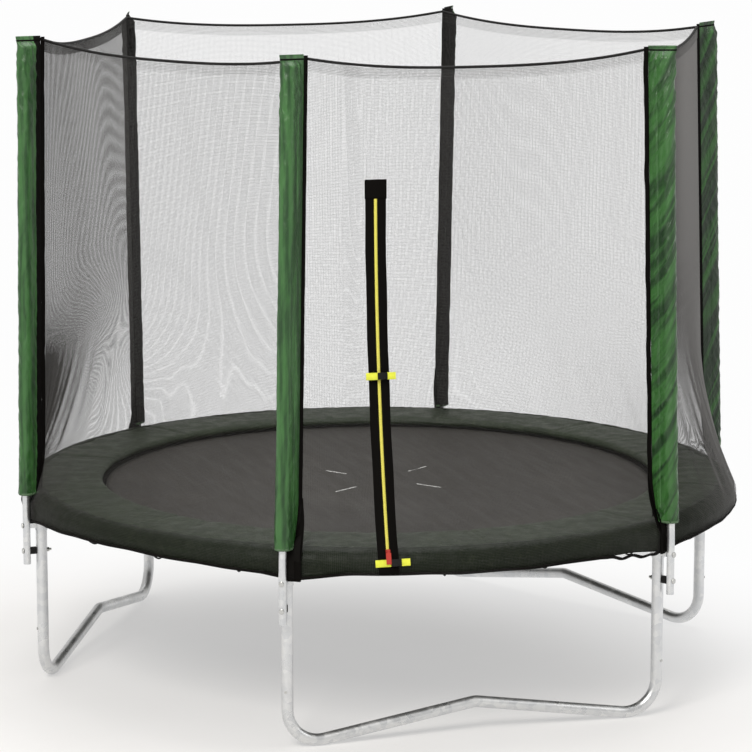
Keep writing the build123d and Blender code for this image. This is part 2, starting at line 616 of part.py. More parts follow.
for k, name in enumerate(PANEL_NAMES):
    panel = make_panel(k)
    if name == "front":
        opening = zip_plane((ZIP_TOP[2] + ZIP_FOOT[2]) / 2).location * Box(PATCH_WIDTH + 1.5, 600, 1400)
        opening &= Pos(0, -1200, ZIP_TOP[2] / 2) * Box(2400, 2400, ZIP_TOP[2])
        opening += zip_plane(ZIP_TOP[2]).location * Pos(0, 0, 300) * Box(1, 600, 800)
        halves = (panel - opening).solids().sort_by(Axis.X)
        parts["net_panel_front_left"] = [halves[0]]
        parts["net_panel_front_right"] = [halves[-1]]
    else:
        parts[f"net_panel_{name}"] = [panel]
parts["net_bindings"] = [make(k) for k in range(6) for make in (make_binding, make_strap)]
parts["net_top_rope"] = make_rope()
parts["net_ties"] = [make_tie(angle) for k in range(6) for angle in tie_angles(k)]

springs = [angle for k in range(6) for angle in spring_angles(k)]
parts["mat"] = [make_mat()]
parts["mat_border"] = [make_mat_border()]
parts["v_rings"] = [make_v_ring(angle) for angle in springs]
parts["springs"] = [make_spring(angle) for angle in springs]
parts["frame_pad"] = [make_pad()]

upper_socket, upper_plug = make_buckle(UPPER_BUCKLE_Z, UPPER_BUCKLE_PLACE, UPPER_BUCKLE_OUT, 0)
lower_socket, lower_plug = make_buckle(
    LOWER_BUCKLE_Z, LOWER_BUCKLE_PLACE, LOWER_BUCKLE_OUT, LOWER_BUCKLE_TURN
)
parts["zip_tapes"] = make_zip_tapes()
parts["zip_coil"] = [make_zip_coil()]
parts["zip_slider"] = [make_zip_slider()]
parts["zip_pull"] = [make_zip_pull()]
parts["buckle_sockets"] = [upper_socket, lower_socket]
parts["buckle_plug_upper"] = [upper_plug]
parts["buckle_plug_lower"] = [lower_plug]
parts["webbing_tabs"] = [
    make_webbing(UPPER_BUCKLE_Z, -45, UPPER_BUCKLE_PLACE - 16.3, UPPER_BUCKLE_OUT + 2.5),
    make_webbing(LOWER_BUCKLE_Z, -42, LOWER_BUCKLE_PLACE - 18.5, TAPE_THICKNESS / 2 + COIL_THICKNESS + 1.5),
]
upper_start, lower_start = UPPER_BUCKLE_PLACE + 14.8, LOWER_BUCKLE_PLACE + 14.8
upper_end, lower_end = upper_start + PLUG_WEBBING_LENGTH, lower_start + PLUG_WEBBING_LENGTH
parts["plug_webbing_upper"] = [
    make_webbing(UPPER_BUCKLE_Z, upper_start, upper_end, UPPER_BUCKLE_OUT + 2.5)
]
parts["plug_webbing_lower"] = [
    make_webbing(LOWER_BUCKLE_Z, lower_start, lower_end, LOWER_BUCKLE_OUT + 2.5, LOWER_BUCKLE_TURN)
]

os.makedirs("parts", exist_ok=True)
for name, solids in parts.items():
    groups = [Compound(list(s.solids())) for s in solids]
    node = solids[0] if len(solids) == 1 else Compound(children=groups)
    export_step(node, f"parts/{name}.step")
    print(name, len(node.solids()))
print(len(parts), "parts; zip radius", ZIP_R, "centre", ZIP_CENTRE, "axis", SIDEWAYS)
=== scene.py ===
"""Looks of a backyard trampoline with an enclosure net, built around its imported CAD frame. Metres, Z up."""
import json
import math

import bpy
import numpy as np
from mathutils import Euler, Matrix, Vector, noise


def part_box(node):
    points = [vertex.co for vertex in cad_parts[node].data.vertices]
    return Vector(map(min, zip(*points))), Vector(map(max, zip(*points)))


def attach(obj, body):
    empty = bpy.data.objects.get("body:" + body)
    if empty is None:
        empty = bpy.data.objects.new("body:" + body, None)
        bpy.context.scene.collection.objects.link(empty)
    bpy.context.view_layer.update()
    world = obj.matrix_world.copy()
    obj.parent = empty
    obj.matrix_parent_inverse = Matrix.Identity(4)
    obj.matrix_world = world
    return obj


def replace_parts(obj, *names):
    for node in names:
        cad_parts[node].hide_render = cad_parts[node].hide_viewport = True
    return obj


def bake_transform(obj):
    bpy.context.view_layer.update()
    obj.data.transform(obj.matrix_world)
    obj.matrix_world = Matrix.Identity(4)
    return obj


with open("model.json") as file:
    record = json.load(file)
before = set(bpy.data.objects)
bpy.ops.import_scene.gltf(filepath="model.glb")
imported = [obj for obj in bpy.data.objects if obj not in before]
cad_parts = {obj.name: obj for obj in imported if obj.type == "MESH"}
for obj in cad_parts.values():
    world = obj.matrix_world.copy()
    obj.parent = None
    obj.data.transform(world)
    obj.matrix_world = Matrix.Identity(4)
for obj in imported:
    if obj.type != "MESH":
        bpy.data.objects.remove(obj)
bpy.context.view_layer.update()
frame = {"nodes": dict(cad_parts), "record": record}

# ---------------------------------------------------------------- sizes that the CAD frame is built to
POLE_RADIUS = 1.250
POLE_BEND_Z = 0.605
LEAN_HEIGHT = 1.575
POLE_TRAVEL = ((0.025, 0), (0.034, 0.017), (0.040, -0.010), (0.050, 0), (0.034, -0.032), (0.010, 0.030))
POLE_COUNT = 6
LEG_SPREAD = 1.37
LEG_ANGLES = [60 * (k + 3) % 360 + LEG_SPREAD * (1, -1)[k % 2] for k in range(POLE_COUNT)]
FLAP_TURN = (-19, 36, -20, -34, 11, 47)
SEAM_REACH = 0.076
BINDING_WIDTH = 0.015
SLEEVE_LOW, SLEEVE_HIGH = 0.655, 2.182
NET_RING_R = 1.2335
NET_FOOT_Z = 0.560
NET_FLARE_Z = 0.615
NET_CORNER_Z = 2.162
CORNER_FLARE = 0.200
PANEL_FLARE = 0.800
PANEL_BULGE = 0.004
TOP_SAG = 0.038
ROPE_R = 0.0035
HEM_CLOTH = 0.001                       # cloth of the hem round the rope
TIE_R = 0.0025
TIES_PER_PANEL = 4
MAT_R = 0.944
MAT_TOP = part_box("mat")[1].z
PAD_INNER_R = 0.950
PAD_LOW, PAD_TOP = 0.624, 0.650
ZIP_TOP = np.array((-0.333, -1.019, 1.790))
ZIP_FOOT = np.array((-0.344, -1.195, 0.586))
TAPE_WIDTH = 0.066
PATCH_WIDTH, PATCH_HEIGHT = 0.070, 0.060
TEETH_LOW, TOOTH_PITCH = 0.629, 0.0026
UPPER_STRAP_Z, LOWER_STRAP_Z = 1.182, 0.614
SPRINGS_PER_RAIL = 8
MAT_DASHES = (
    ((-0.137, 0.185), (-0.084, 0.113)), ((-0.205, -0.160), (-0.115, -0.104)),
    ((0.137, 0.090), (0.223, 0.150)), ((0.099, -0.121), (0.159, -0.202)),
)
PANEL_NAMES = ("left_front", "front", "right_front", "right_back", "back", "left_back")
FRONT = 1
UP = np.array((0.0, 0.0, 1.0))

# ---------------------------------------------------------------- mesh helpers
def smoothstep(x, low=0.0, high=1.0):
    t = np.clip((np.asarray(x, float) - low) / (high - low), 0, 1)
    return t * t * (3 - 2 * t)


def length(vectors):
    return np.linalg.norm(vectors, axis=-1)


def unit(vectors):
    return vectors / np.maximum(length(vectors)[..., None], 1e-12)


def grid_faces(rows, columns, close_rows=False, close_columns=False):
    """Quads between the points of a grid, which run along one row after another."""
    r, c = np.meshgrid(
        np.arange(rows if close_rows else rows - 1),
        np.arange(columns if close_columns else columns - 1),
        indexing="ij",
    )
    below, beside = (r + 1) % rows * columns, (c + 1) % columns
    here = r * columns
    return np.stack([here + c, here + beside, below + beside, below + c], -1).reshape(-1, 4)


def new_object(name, data):
    made = bpy.data.objects.new(name, data)
    bpy.context.scene.collection.objects.link(made)
    return made


def make_piece(name, points, faces, material, body="frame", smooth=True):
    mesh = bpy.data.meshes.new(name)
    points = np.asarray(points, float).reshape(-1, 3).tolist()
    mesh.from_pydata(points, [], [list(map(int, f)) for f in faces])
    mesh.polygons.foreach_set("use_smooth", [smooth] * len(mesh.polygons))
    mesh.materials.append(material)
    mesh.update()
    piece = new_object(name, mesh)
    if body:
        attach(piece, body)
    return piece


def thicken(piece, thickness):
    piece.modifiers.new("cloth", "SOLIDIFY").thickness = thickness


def join_grids(grids):
    """One list of points and one of faces from several (points, faces) pairs."""
    points, faces, start = [], [], 0
    for some, some_faces in grids:
        points.append(np.asarray(some, float).reshape(-1, 3))
        faces += [[start + i for i in face] for face in some_faces]
        start += len(points[-1])
    return np.concatenate(points), faces


def threads(paths, normals, width, depth):
    """Four-sided thread along each row of paths; normals stand off the cloth. Ends stay open."""
    along = unit(np.gradient(paths, axis=1))
    side = unit(np.cross(along, normals)) * width / 2
    rise = normals * depth / 2
    ring = paths[:, :, None] + np.stack([side, rise, -side, -rise], 2)
    count, steps = paths.shape[:2]
    one = grid_faces(steps, 4, close_columns=True)
    faces = one[None] + (np.arange(count) * steps * 4)[:, None, None]
    return ring.reshape(-1, 3), faces.reshape(-1, 4)


def strip(centres, across, outward, width, thickness, loop=False):
    """Flat strip along a path, open at its ends or joined up: across and outward are its axes."""
    w, t = np.asarray(width, float).reshape(-1, 1) / 2, thickness / 2
    r = t * 0.55
    left = ((r - w, -t), (-w, r - t), (-w, t - r), (r - w, t))
    corners = *left, *((-x, y) for x, y in left[::-1])
    points = np.stack([centres + across * x + outward * y for x, y in corners], 1)
    return points.reshape(-1, 3), grid_faces(len(centres), 8, close_rows=loop, close_columns=True)


def closed_strip(*shape):
    points, faces = strip(*shape)
    last = len(points) - 8
    return points, faces.tolist() + [list(range(8))[::-1], list(range(last, last + 8))]


def cord_tube(name, points, radius):
    """Round black cord along a smooth line through a few points."""
    curve = bpy.data.curves.new(name, "CURVE")
    curve.dimensions = "3D"
    curve.bevel_depth = radius
    curve.bevel_resolution = 3
    curve.use_fill_caps = True
    line = curve.splines.new("NURBS")
    line.points.add(len(points) - 1)
    for point, place in zip(line.points, points):
        point.co = (*place, 1)
    line.order_u = 3
    line.use_endpoint_u = True
    curve.materials.append(CORD)
    piece = new_object(name, curve)
    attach(piece, "frame")
    return piece


def polar(r, turn, z):
    """Points at radii r, angles turn and heights z."""
    return np.stack(np.broadcast_arrays(r * np.cos(turn), r * np.sin(turn), z), -1)


def ring_noise(turn, scale, level, seed=Vector()):
    """Smooth noise on a circle of radius scale, at an angle and a height."""
    return noise.noise(Vector((math.cos(turn) * scale, math.sin(turn) * scale, level)) + seed)


def ridge(value, sharpness):
    """Smooth noise turned into sharp folds."""
    return 1 - abs(value) * sharpness


def shade(colour, by):
    return tuple(c * by for c in colour)


# ---------------------------------------------------------------- material helpers
class Finish:
    """A procedural material: a Principled shader with small helpers to feed it."""

    def __init__(self, name, colour, roughness=0.5, metallic=0.0, specular=0.5):
        self.material = bpy.data.materials.new(name)
        self.material.use_nodes = True
        self.tree = self.material.node_tree
        self.shader = self.tree.nodes["Principled BSDF"]
        values = {"Base Color": (*colour, 1), "Roughness": roughness, "Metallic": metallic}
        for socket, value in {**values, "Specular IOR Level": specular}.items():
            self.shader.inputs[socket].default_value = value
        self.place = self.node("ShaderNodeNewGeometry").outputs["Position"]
        self.height = None

    def node(self, kind, inputs=None, **settings):
        made = self.tree.nodes.new(kind)
        for key, value in settings.items():
            setattr(made, key, value)
        for key, value in (inputs or {}).items():
            if isinstance(value, bpy.types.NodeSocket):
                self.tree.links.new(value, made.inputs[key])
            else:
                made.inputs[key].default_value = value
        return made

    def math(self, operation, *values):
        return self.node("ShaderNodeMath", dict(enumerate(values)), operation=operation).outputs[0]

    def times(self, first, second):
        return self.math("MULTIPLY", first, second)

    def noise(self, scale, detail=3.0, roughness=0.55, vector=None, stretch=None):
        vector = vector or self.place
        if stretch:
            stretched = self.node("ShaderNodeVectorMath", {0: vector, 1: stretch}, operation="MULTIPLY")
            vector = stretched.outputs[0]
        inputs = {"Vector": vector, "Scale": scale, "Detail": detail, "Roughness": roughness}
        return self.node("ShaderNodeTexNoise", inputs).outputs["Fac"]

    def cells(self, scale):
        made = self.node("ShaderNodeTexVoronoi", {"Vector": self.place, "Scale": scale})
        return self.node("ShaderNodeSeparateColor", {0: made.outputs["Color"]}).outputs[0]

    def wave(self, scale, direction):
        inputs = {"Vector": self.place, "Scale": scale}
        return self.node("ShaderNodeTexWave", inputs, bands_direction=direction).outputs["Fac"]

    def ramp(self, value, low, high, out_low=0.0, out_high=1.0):
        inputs = {0: value, 1: low, 2: high, 3: out_low, 4: out_high}
        return self.node("ShaderNodeMapRange", inputs, interpolation_type="SMOOTHSTEP").outputs[0]

    def mix(self, share, first, second):
        made = self.node("ShaderNodeMix", data_type="RGBA")
        for socket, value in ((0, share), (6, first), (7, second)):
            if isinstance(value, bpy.types.NodeSocket):
                self.tree.links.new(value, made.inputs[socket])
            else:
                made.inputs[socket].default_value = value if socket == 0 else (*value, 1)
        return made.outputs[2]

    def feed(self, socket, value):
        self.tree.links.new(value, self.shader.inputs[socket])

    def colour(self, *mixed):
        self.feed("Base Color", self.mix(*mixed))

    def rough(self, *ramped):
        self.feed("Roughness", self.ramp(*ramped))

    def bump(self, height, distance, strength=1.0):
        inputs = {"Height": height, "Distance": distance, "Strength": strength}
        if self.height:
            inputs["Normal"] = self.height
        self.height = self.node("ShaderNodeBump", inputs).outputs["Normal"]
        self.feed("Normal", self.height)


def galvanised():
    """Hot-dip zinc: pale metal with a faint spangle, cloudy roughness and grey handling marks."""
    f = Finish("galvanised_steel", (0.70, 0.71, 0.71), roughness=0.34, metallic=0.92)
    spangle = f.cells(55.0)
    clouds = f.noise(9.0, 4.0)
    marks = f.ramp(f.noise(30.0, 5.0, 0.7), 0.62, 0.78)
    pale = f.mix(spangle, (0.64, 0.65, 0.66), (0.80, 0.80, 0.79))
    cloudy = f.mix(f.times(clouds, 0.5), pale, (0.52, 0.53, 0.54))
    f.colour(f.times(marks, 0.4), cloudy, (0.42, 0.41, 0.39))
    uneven = f.math("ADD", clouds, f.times(spangle, 0.25))
    f.rough(uneven, 0.3, 0.9, 0.24, 0.46)
    f.bump(f.noise(140.0, 2.0), 0.0002, 0.35)
    return f.material


def plain_steel(name, colour, roughness):
    f = Finish(name, colour, roughness=roughness, metallic=1.0)
    wear = f.noise(120.0, 4.0)
    f.colour(wear, shade(colour, 0.78), colour)
    f.rough(wear, 0.3, 0.7, roughness * 0.8, roughness * 1.35)
    f.bump(f.noise(400.0, 2.0), 0.0001, 0.3)
    return f.material


def plastic(name, colour, roughness=0.42, specular=0.5):
    """Moulded plastic with a fine grain."""
    f = Finish(name, colour, roughness=roughness, specular=specular)
    f.colour(f.noise(60.0), shade(colour, 0.85), colour)
    f.rough(f.noise(35.0, 3.0), 0.3, 0.7, roughness * 0.85, roughness * 1.2)
    f.bump(f.noise(1800.0, 1.0), 0.00008, 0.4)
    return f.material


def woven(f, scale, distance, strength=0.6, first="Z", second="X"):
    """Plain weave as two crossed sets of ribs. Scale is ribs per metre."""
    wave_scale = scale * math.pi / 10
    f.bump(f.math("ADD", f.wave(wave_scale, first), f.wave(wave_scale, second)), distance, strength)


def sleeve_fabric():
    """Coated nylon: dark green with a silky gloss, slanting folds that grow towards +X, painted highlight and
    shade in vertical stripes and along the folds, and painted shade beyond X = 0.95 m.
    """
    f = Finish("green_sleeve_fabric", (0.018, 0.080, 0.014), roughness=0.36, specular=0.5)
    axes = f.node("ShaderNodeSeparateXYZ", {0: f.place}).outputs
    slant = f.math("MULTIPLY_ADD", axes["X"], -2.1, axes["Z"])
    thin = [f.times(axes[name], 0.18) for name in ("X", "Y")]
    across = f.node("ShaderNodeCombineXYZ", {0: thin[0], 1: thin[1], 2: slant}).outputs[0]
    folds = f.noise(17.0, 4.0, 0.62, vector=across)
    # pulled grows towards +X and strengthens the folds' bump and, in colour, their painted shade and
    # highlight
    pulled = f.ramp(axes["X"], -0.5, 0.55, 0.22, 1.0)
    # painted highlight and shade: random vertical stripes of lighter and darker green
    streaks = f.ramp(f.noise(58.0, 3.0, stretch=(1.0, 1.0, 0.07)), 0.36, 0.64)
    tone = f.mix(streaks, (0.006, 0.040, 0.005), (0.034, 0.118, 0.026))
    # painted shade in the folds' troughs and painted highlight on their ridges
    creased = f.mix(f.ramp(folds, 0.40, 0.58), (0.0025, 0.018, 0.0025), (0.030, 0.112, 0.021))
    tone = f.mix(f.times(pulled, 0.75), tone, creased)
    # painted shade: from X = 0.95 m to 1.15 m the sleeve turns a much darker green, with darker painted shade
    # in its folds
    shaded = f.times(f.ramp(axes["X"], 0.95, 1.15), 0.85)
    painted_shade_green = f.mix(f.ramp(folds, 0.46, 0.60), (0.0016, 0.013, 0.0012), (0.017, 0.084, 0.010))
    tone = f.mix(shaded, tone, painted_shade_green)
    worn = f.ramp(f.noise(55.0, 4.0), 0.58, 0.78)
    # the pale wear shows less where the painted shade lies
    worn = f.times(worn, f.math("MULTIPLY_ADD", shaded, -0.26, 0.28))
    f.colour(worn, tone, (0.055, 0.135, 0.042))
    f.rough(f.noise(40.0, 3.0), 0.3, 0.7, 0.30, 0.46)
    f.bump(f.times(folds, pulled), 0.012, 0.8)
    f.bump(f.noise(55.0, 4.0, 0.62, stretch=(1.0, 1.0, 0.4)), 0.0016, 0.6)
    woven(f, 900, 0.00012, 0.35)
    return f.material


def black_cloth():
    colour = (0.0024, 0.0019, 0.0014)
    f = Finish("black_inner_fabric", colour, roughness=0.76, specular=0.09)
    f.colour(f.noise(30.0, 4.0), shade(colour, 0.6), shade(colour, 1.7))
    f.bump(f.noise(60.0, 3.0), 0.0010, 0.5)
    woven(f, 700, 0.00015, 0.5)
    return f.material


def net_thread():
    """Black polyethylene yarn with a slight shine, painted paler grey towards +X as painted sheen."""
    f = Finish("net_mesh", (0.030, 0.028, 0.026), roughness=0.5, specular=0.5)
    tone = f.mix(f.noise(25.0, 3.0), (0.018, 0.017, 0.015), (0.044, 0.041, 0.038))
    # painted sheen: from X = 0.70 m to 1.02 m the threads turn pale grey
    painted_sheen = f.ramp(f.node("ShaderNodeSeparateXYZ", {0: f.place}).outputs["X"], 0.70, 1.02)
    f.colour(painted_sheen, tone, (0.150, 0.146, 0.142))
    return f.material


def webbing(name, colour, ribs=420, roughness=0.6, specular=0.3):
    """Ribbed flat webbing."""
    f = Finish(name, colour, roughness=roughness, specular=specular)
    f.colour(f.noise(90.0, 3.0), shade(colour, 0.72), colour)
    woven(f, ribs, 0.00035, 0.8)
    return f.material


def rope_fibre():
    f = Finish("black_cord", (0.008, 0.008, 0.008), roughness=0.62, specular=0.2)
    f.colour(f.noise(160.0, 3.0), (0.004, 0.004, 0.004), (0.012, 0.011, 0.010))
    f.bump(f.wave(70.0, "DIAGONAL"), 0.0006, 0.9)
    return f.material


def jump_mat():
    """Woven polypropylene: crossed ribs, faint darker streaks along the cloth and a dusty wear patch."""
    f = Finish("jump_mat", (0.027, 0.025, 0.021), roughness=0.6, specular=0.22)
    streaks = f.noise(24.0, 4.0, 0.6, stretch=(1.0, 0.12, 1.0))
    cross = f.noise(24.0, 4.0, 0.6, stretch=(0.12, 1.0, 1.0))
    cloth = f.mix(streaks, (0.018, 0.016, 0.0130), (0.038, 0.034, 0.0290))
    cloth = f.mix(f.times(cross, 0.45), cloth, (0.025, 0.022, 0.0190))
    dust = f.ramp(f.noise(3.0, 3.0), 0.45, 0.72)
    f.colour(f.times(dust, 0.22), cloth, (0.060, 0.055, 0.048))
    f.rough(streaks, 0.25, 0.75, 0.42, 0.60)
    woven(f, 330, 0.0004, 0.7, "Y", "X")
    return f.material


def pad_cover(name, by, specular):
    """Coated tarpaulin: dark green with a soft gloss, a fine grid of yarns and small puckers."""
    f = Finish(name, shade((0.012, 0.022, 0.010), by), roughness=0.48, specular=specular)
    colours = (0.0060, 0.0115, 0.0040), (0.0170, 0.0290, 0.0105), (0.078, 0.090, 0.052)
    dark, pale, dusty = (shade(colour, by) for colour in colours)
    tone = f.mix(f.noise(7.0, 4.0), dark, pale)
    yarns = f.ramp(f.noise(150.0, 4.0, 0.7), 0.42, 0.70)
    scuff = f.ramp(f.noise(38.0, 5.0, 0.7), 0.50, 0.76)
    worn = f.math("ADD", f.times(scuff, 0.34), f.times(yarns, 0.20))
    f.colour(worn, tone, dusty)
    f.rough(f.noise(20.0, 3.0), 0.3, 0.7, 0.40, 0.58)
    f.bump(f.noise(42.0, 3.0, 0.55), 0.0034, 0.6)
    woven(f, 500, 0.00018, 0.45, "Y", "X")
    return f.material


def foam_stuff():
    f = Finish("foam", (0.06, 0.06, 0.06), roughness=0.9)
    f.colour(f.cells(600.0), (0.045, 0.045, 0.045), (0.085, 0.085, 0.085))
    f.bump(f.cells(700.0), 0.0004, 0.6)
    return f.material


STEEL = galvanised()
BOLT = plain_steel("bolt_steel", (0.62, 0.62, 0.60), 0.30)
SPRING_STEEL = plain_steel("spring_steel", (0.66, 0.67, 0.68), 0.26)
BLACK_PLASTIC = plastic("black_plastic", (0.0045, 0.0042, 0.0038), 0.5, 0.2)
FOAM = foam_stuff()
GREEN = sleeve_fabric()
BLACK_INNER = black_cloth()
NET = net_thread()
WEBBING = webbing("black_webbing", (0.0024, 0.0018, 0.0012), roughness=0.78, specular=0.07)
CORD = rope_fibre()
MAT = jump_mat()
PAD = pad_cover("pad_cover", 0.92, 0.28)
# the skirt's cover is the pad's cover darkened to half, as painted shade on its hanging side
SHADED_SKIRT_COVER = pad_cover("skirt_cover_painted_shade", 0.50, 0.16)
ZIP_YELLOW = plastic("zip_yellow", (0.84, 0.76, 0.11), 0.38)
RED = plastic("slider_red", (0.42, 0.030, 0.018), 0.35)
YELLOW = webbing("yellow_webbing", (0.78, 0.80, 0.06), 500, 0.55)
WHITE = webbing("white_mark", (0.62, 0.62, 0.60), 700, 0.7)
TRIM = webbing("green_trim", (0.085, 0.150, 0.075), 600, 0.55)

SLOT_FINISH = {
    "galvanised_steel": STEEL, "bolt_steel": BOLT, "spring_steel": SPRING_STEEL, "foam": FOAM,
    "black_plastic": BLACK_PLASTIC, "green_sleeve_fabric": GREEN, "net_mesh": NET, "black_webbing": WEBBING,
    "black_cord": CORD, "jump_mat": MAT, "pad_cover": PAD, "zip_yellow": ZIP_YELLOW, "slider_red": RED,
    "yellow_webbing": YELLOW,
}


SLOT_OF = {finish: slot for slot, finish in SLOT_FINISH.items()}
SLOT_OF |= {BLACK_INNER: "black_webbing", SHADED_SKIRT_COVER: "pad_cover", WHITE: "jump_mat", TRIM: "green_sleeve_fabric"}

for entry in frame["record"]["subparts"]:
    worn_by = frame["nodes"][entry["node"]].data.materials
    worn_by.clear()
    worn_by.append(SLOT_FINISH[entry["material_slot"]])


# ---------------------------------------------------------------- where the poles and the net are
def pole_centre(k, z):
    """Pole k's axis at heights z: out from the middle along its leg's angle, and sideways."""
    inward, sideways = POLE_TRAVEL[k]
    rise = np.maximum(0, np.asarray(z, float) - POLE_BEND_Z) / LEAN_HEIGHT
    return POLE_RADIUS - inward * rise, sideways * rise


def flare(z, height):
    """1 at the ring and 0 where the flare has died out."""
    return np.maximum(0.0, 1 - np.maximum(0.0, np.asarray(z, float) - NET_FLARE_Z) / height) ** 2


def heading(degrees_round):
    a = math.radians(degrees_round)
    return np.array((math.cos(a), math.sin(a)))


def from_leg(k, share):
    """Angle in radians, a share of the way from leg k to the next one."""
    width = (LEG_ANGLES[(k + 1) % POLE_COUNT] - LEG_ANGLES[k]) % 360
    return np.radians(LEG_ANGLES[k] + np.asarray(share, float) * width)


def net_corner(k, z, flared=True):
    """Plan position where the net meets a pole at heights z."""
    k %= POLE_COUNT
    turn = math.radians(FLAP_TURN[k])
    out, sideways = pole_centre(k, z)
    out, sideways = out - SEAM_REACH * math.cos(turn), sideways + SEAM_REACH * math.sin(turn)
    if flared:
        out = out + (np.sqrt(NET_RING_R**2 - sideways**2) - out) * flare(z, CORNER_FLARE)
    return out[..., None] * heading(LEG_ANGLES[k]) + sideways[..., None] * heading(LEG_ANGLES[k] + 90)


def panel_at(k, u, z):
    """Points of panel k at shares u of its width and at heights z."""
    u, z = np.broadcast_arrays(np.asarray(u, float), np.asarray(z, float))
    first, second = net_corner(k, z), net_corner(k + 1, z)
    straight = (net_corner(k, z, False) + net_corner(k + 1, z, False)) / 2
    reach = length(straight)
    out = reach + PANEL_BULGE
    out = out + (NET_RING_R - out) * flare(z, PANEL_FLARE)
    middle = (out / reach)[..., None] * straight
    span = length(second - first)
    along = (second - first) / span[..., None]
    outward = np.stack([along[..., 1], -along[..., 0]], -1)
    x = ((middle - first) * along).sum(-1)
    y = ((middle - first) * outward).sum(-1)
    centre = (x * x - x * span + y * y) / (2 * y)
    radius = np.sqrt(span**2 / 4 + centre**2)
    turn = np.arcsin(span / 2 / radius) * (2 * u - 1)
    x, y = span / 2 + radius * np.sin(turn), centre + radius * np.cos(turn)
    plan = first + along * x[..., None] + outward * y[..., None]
    return np.concatenate([plan, z[..., None]], -1)


def top_edge(u):
    """Height of the net's top edge: it drops fast beside the poles and then hangs flat."""
    return NET_CORNER_Z - TOP_SAG * (1 - np.abs(2 * np.asarray(u, float) - 1) ** 2.6)


def skirt_foot(turn):
    """Height of the skirt's lower edge: pulled down at each leg and higher between them."""
    turn = np.asarray(turn, float)
    near = np.full(turn.shape, math.pi)
    for a in np.radians(LEG_ANGLES):
        near = np.minimum(near, np.abs((turn - a + math.pi) % (2 * math.pi) - math.pi))
    left = np.exp(-(((turn - math.radians(LEG_ANGLES[0] + 28)) / 0.30) ** 2))
    rise = 0.020 * (1 - np.exp(-((near / 0.09) ** 1.3))) + 0.009 * left
    return 0.5545 + rise + 0.0016 * np.sin(9 * turn) + 0.0012 * np.sin(31 * turn)


def foot_edge(k, u):
    """Height of the net's foot: along the skirt's edge, but loose below it beside the front right pole."""
    return skirt_foot(from_leg(k, u) % (2 * math.pi)) + 0.002 - loose_hem(k, u)


def loose_hem(k, u):
    """How far the net's hem hangs below the skirt."""
    if k != FRONT:
        return 0.0 * np.asarray(u, float)
    span = smoothstep(u, 0.78, 0.86) * (1 - smoothstep(u, 0.965, 0.995))
    return span * (0.012 + 0.004 * np.sin(np.asarray(u, float) * 90))


def slack(k, u, z):
    """How far the slack cloth stands off its smooth surface: ripples, and small gathers near the ring."""
    phase = 1.7 * k
    edge = np.sqrt(np.clip(np.sin(math.pi * np.clip(u, 0, 1)), 0, 1))
    low = 1 - smoothstep(z, 0.62, 1.15)
    long = np.sin(5.1 * u + 2.3 * z + phase) * np.sin(3.7 * z + 1.9 * phase)
    long += 0.6 * np.sin(11.0 * u - 4.0 * z + phase)
    gathers = np.sin(47.0 * u + 5.0 * np.sin(2.2 * z + phase)) + 0.6 * np.sin(83.0 * u - 3.0 * z + 2 * phase)
    return edge * (0.0014 * long * (1 - 0.5 * low) + 0.0024 * low * gathers * smoothstep(z, 0.615, 0.70))


# ---------------------------------------------------------------- zip line
ZIP_SPREAD = math.hypot(*(ZIP_FOOT - ZIP_TOP)[:2])
ZIP_DROP = ZIP_TOP[2] - ZIP_FOOT[2]
ZIP_R = (ZIP_SPREAD**2 + ZIP_DROP**2) / (2 * ZIP_SPREAD)
OUTWARD = np.array([*(ZIP_FOOT - ZIP_TOP)[:2], 0.0]) / ZIP_SPREAD
SIDEWAYS = np.cross(OUTWARD, (0, 0, -1))
ZIP_CENTRE = ZIP_TOP + OUTWARD * ZIP_R


def zip_axes(z):
    """(point, up, outward) of the tape's middle surface at heights z, on its arc."""
    angle = np.arcsin((ZIP_TOP[2] - np.asarray(z, float)) / ZIP_R)[..., None]
    up = UP * np.cos(angle) - OUTWARD * np.sin(angle)
    out = OUTWARD * np.cos(angle) + UP * np.sin(angle)
    return ZIP_CENTRE - out * ZIP_R, up, out


def zip_share(z):
    """Share of the front panel's width where the zip's line crosses it."""
    target = np.where(z < ZIP_TOP[2], zip_axes(np.minimum(z, ZIP_TOP[2]))[0][..., 0], ZIP_TOP[0])
    first, second = panel_at(FRONT, 0.0, z)[..., 0], panel_at(FRONT, 1.0, z)[..., 0]
    share = (target - first) / (second - first)
    for _ in range(4):
        share = share - (panel_at(FRONT, share, z)[..., 0] - target) / (second - first)
    return share


def zip_edge(across, z):
    """Point of the net's edge beside the zip, or beside its line above the patch."""
    low = np.minimum(z, ZIP_TOP[2])
    gap = zip_axes(low)[0] - panel_at(FRONT, zip_share(low), low)
    fade = 1 - smoothstep(z, ZIP_TOP[2], NET_CORNER_Z - TOP_SAG)
    return panel_at(FRONT, zip_share(z), z) + gap * fade[..., None] + SIDEWAYS * across


# ---------------------------------------------------------------- net panels
NET_PITCH = 0.0046
THREAD_WIDTH = 0.00045
THREAD_DEPTH = 0.00080
LEVELS = 30
HEM_DEPTH = 0.034
HEM_LIFT = 0.0016
HEM_PHASE = 0.4                         # of a thread's pitch, between the hem's threads and the net's
NET_EDGE = 0.030


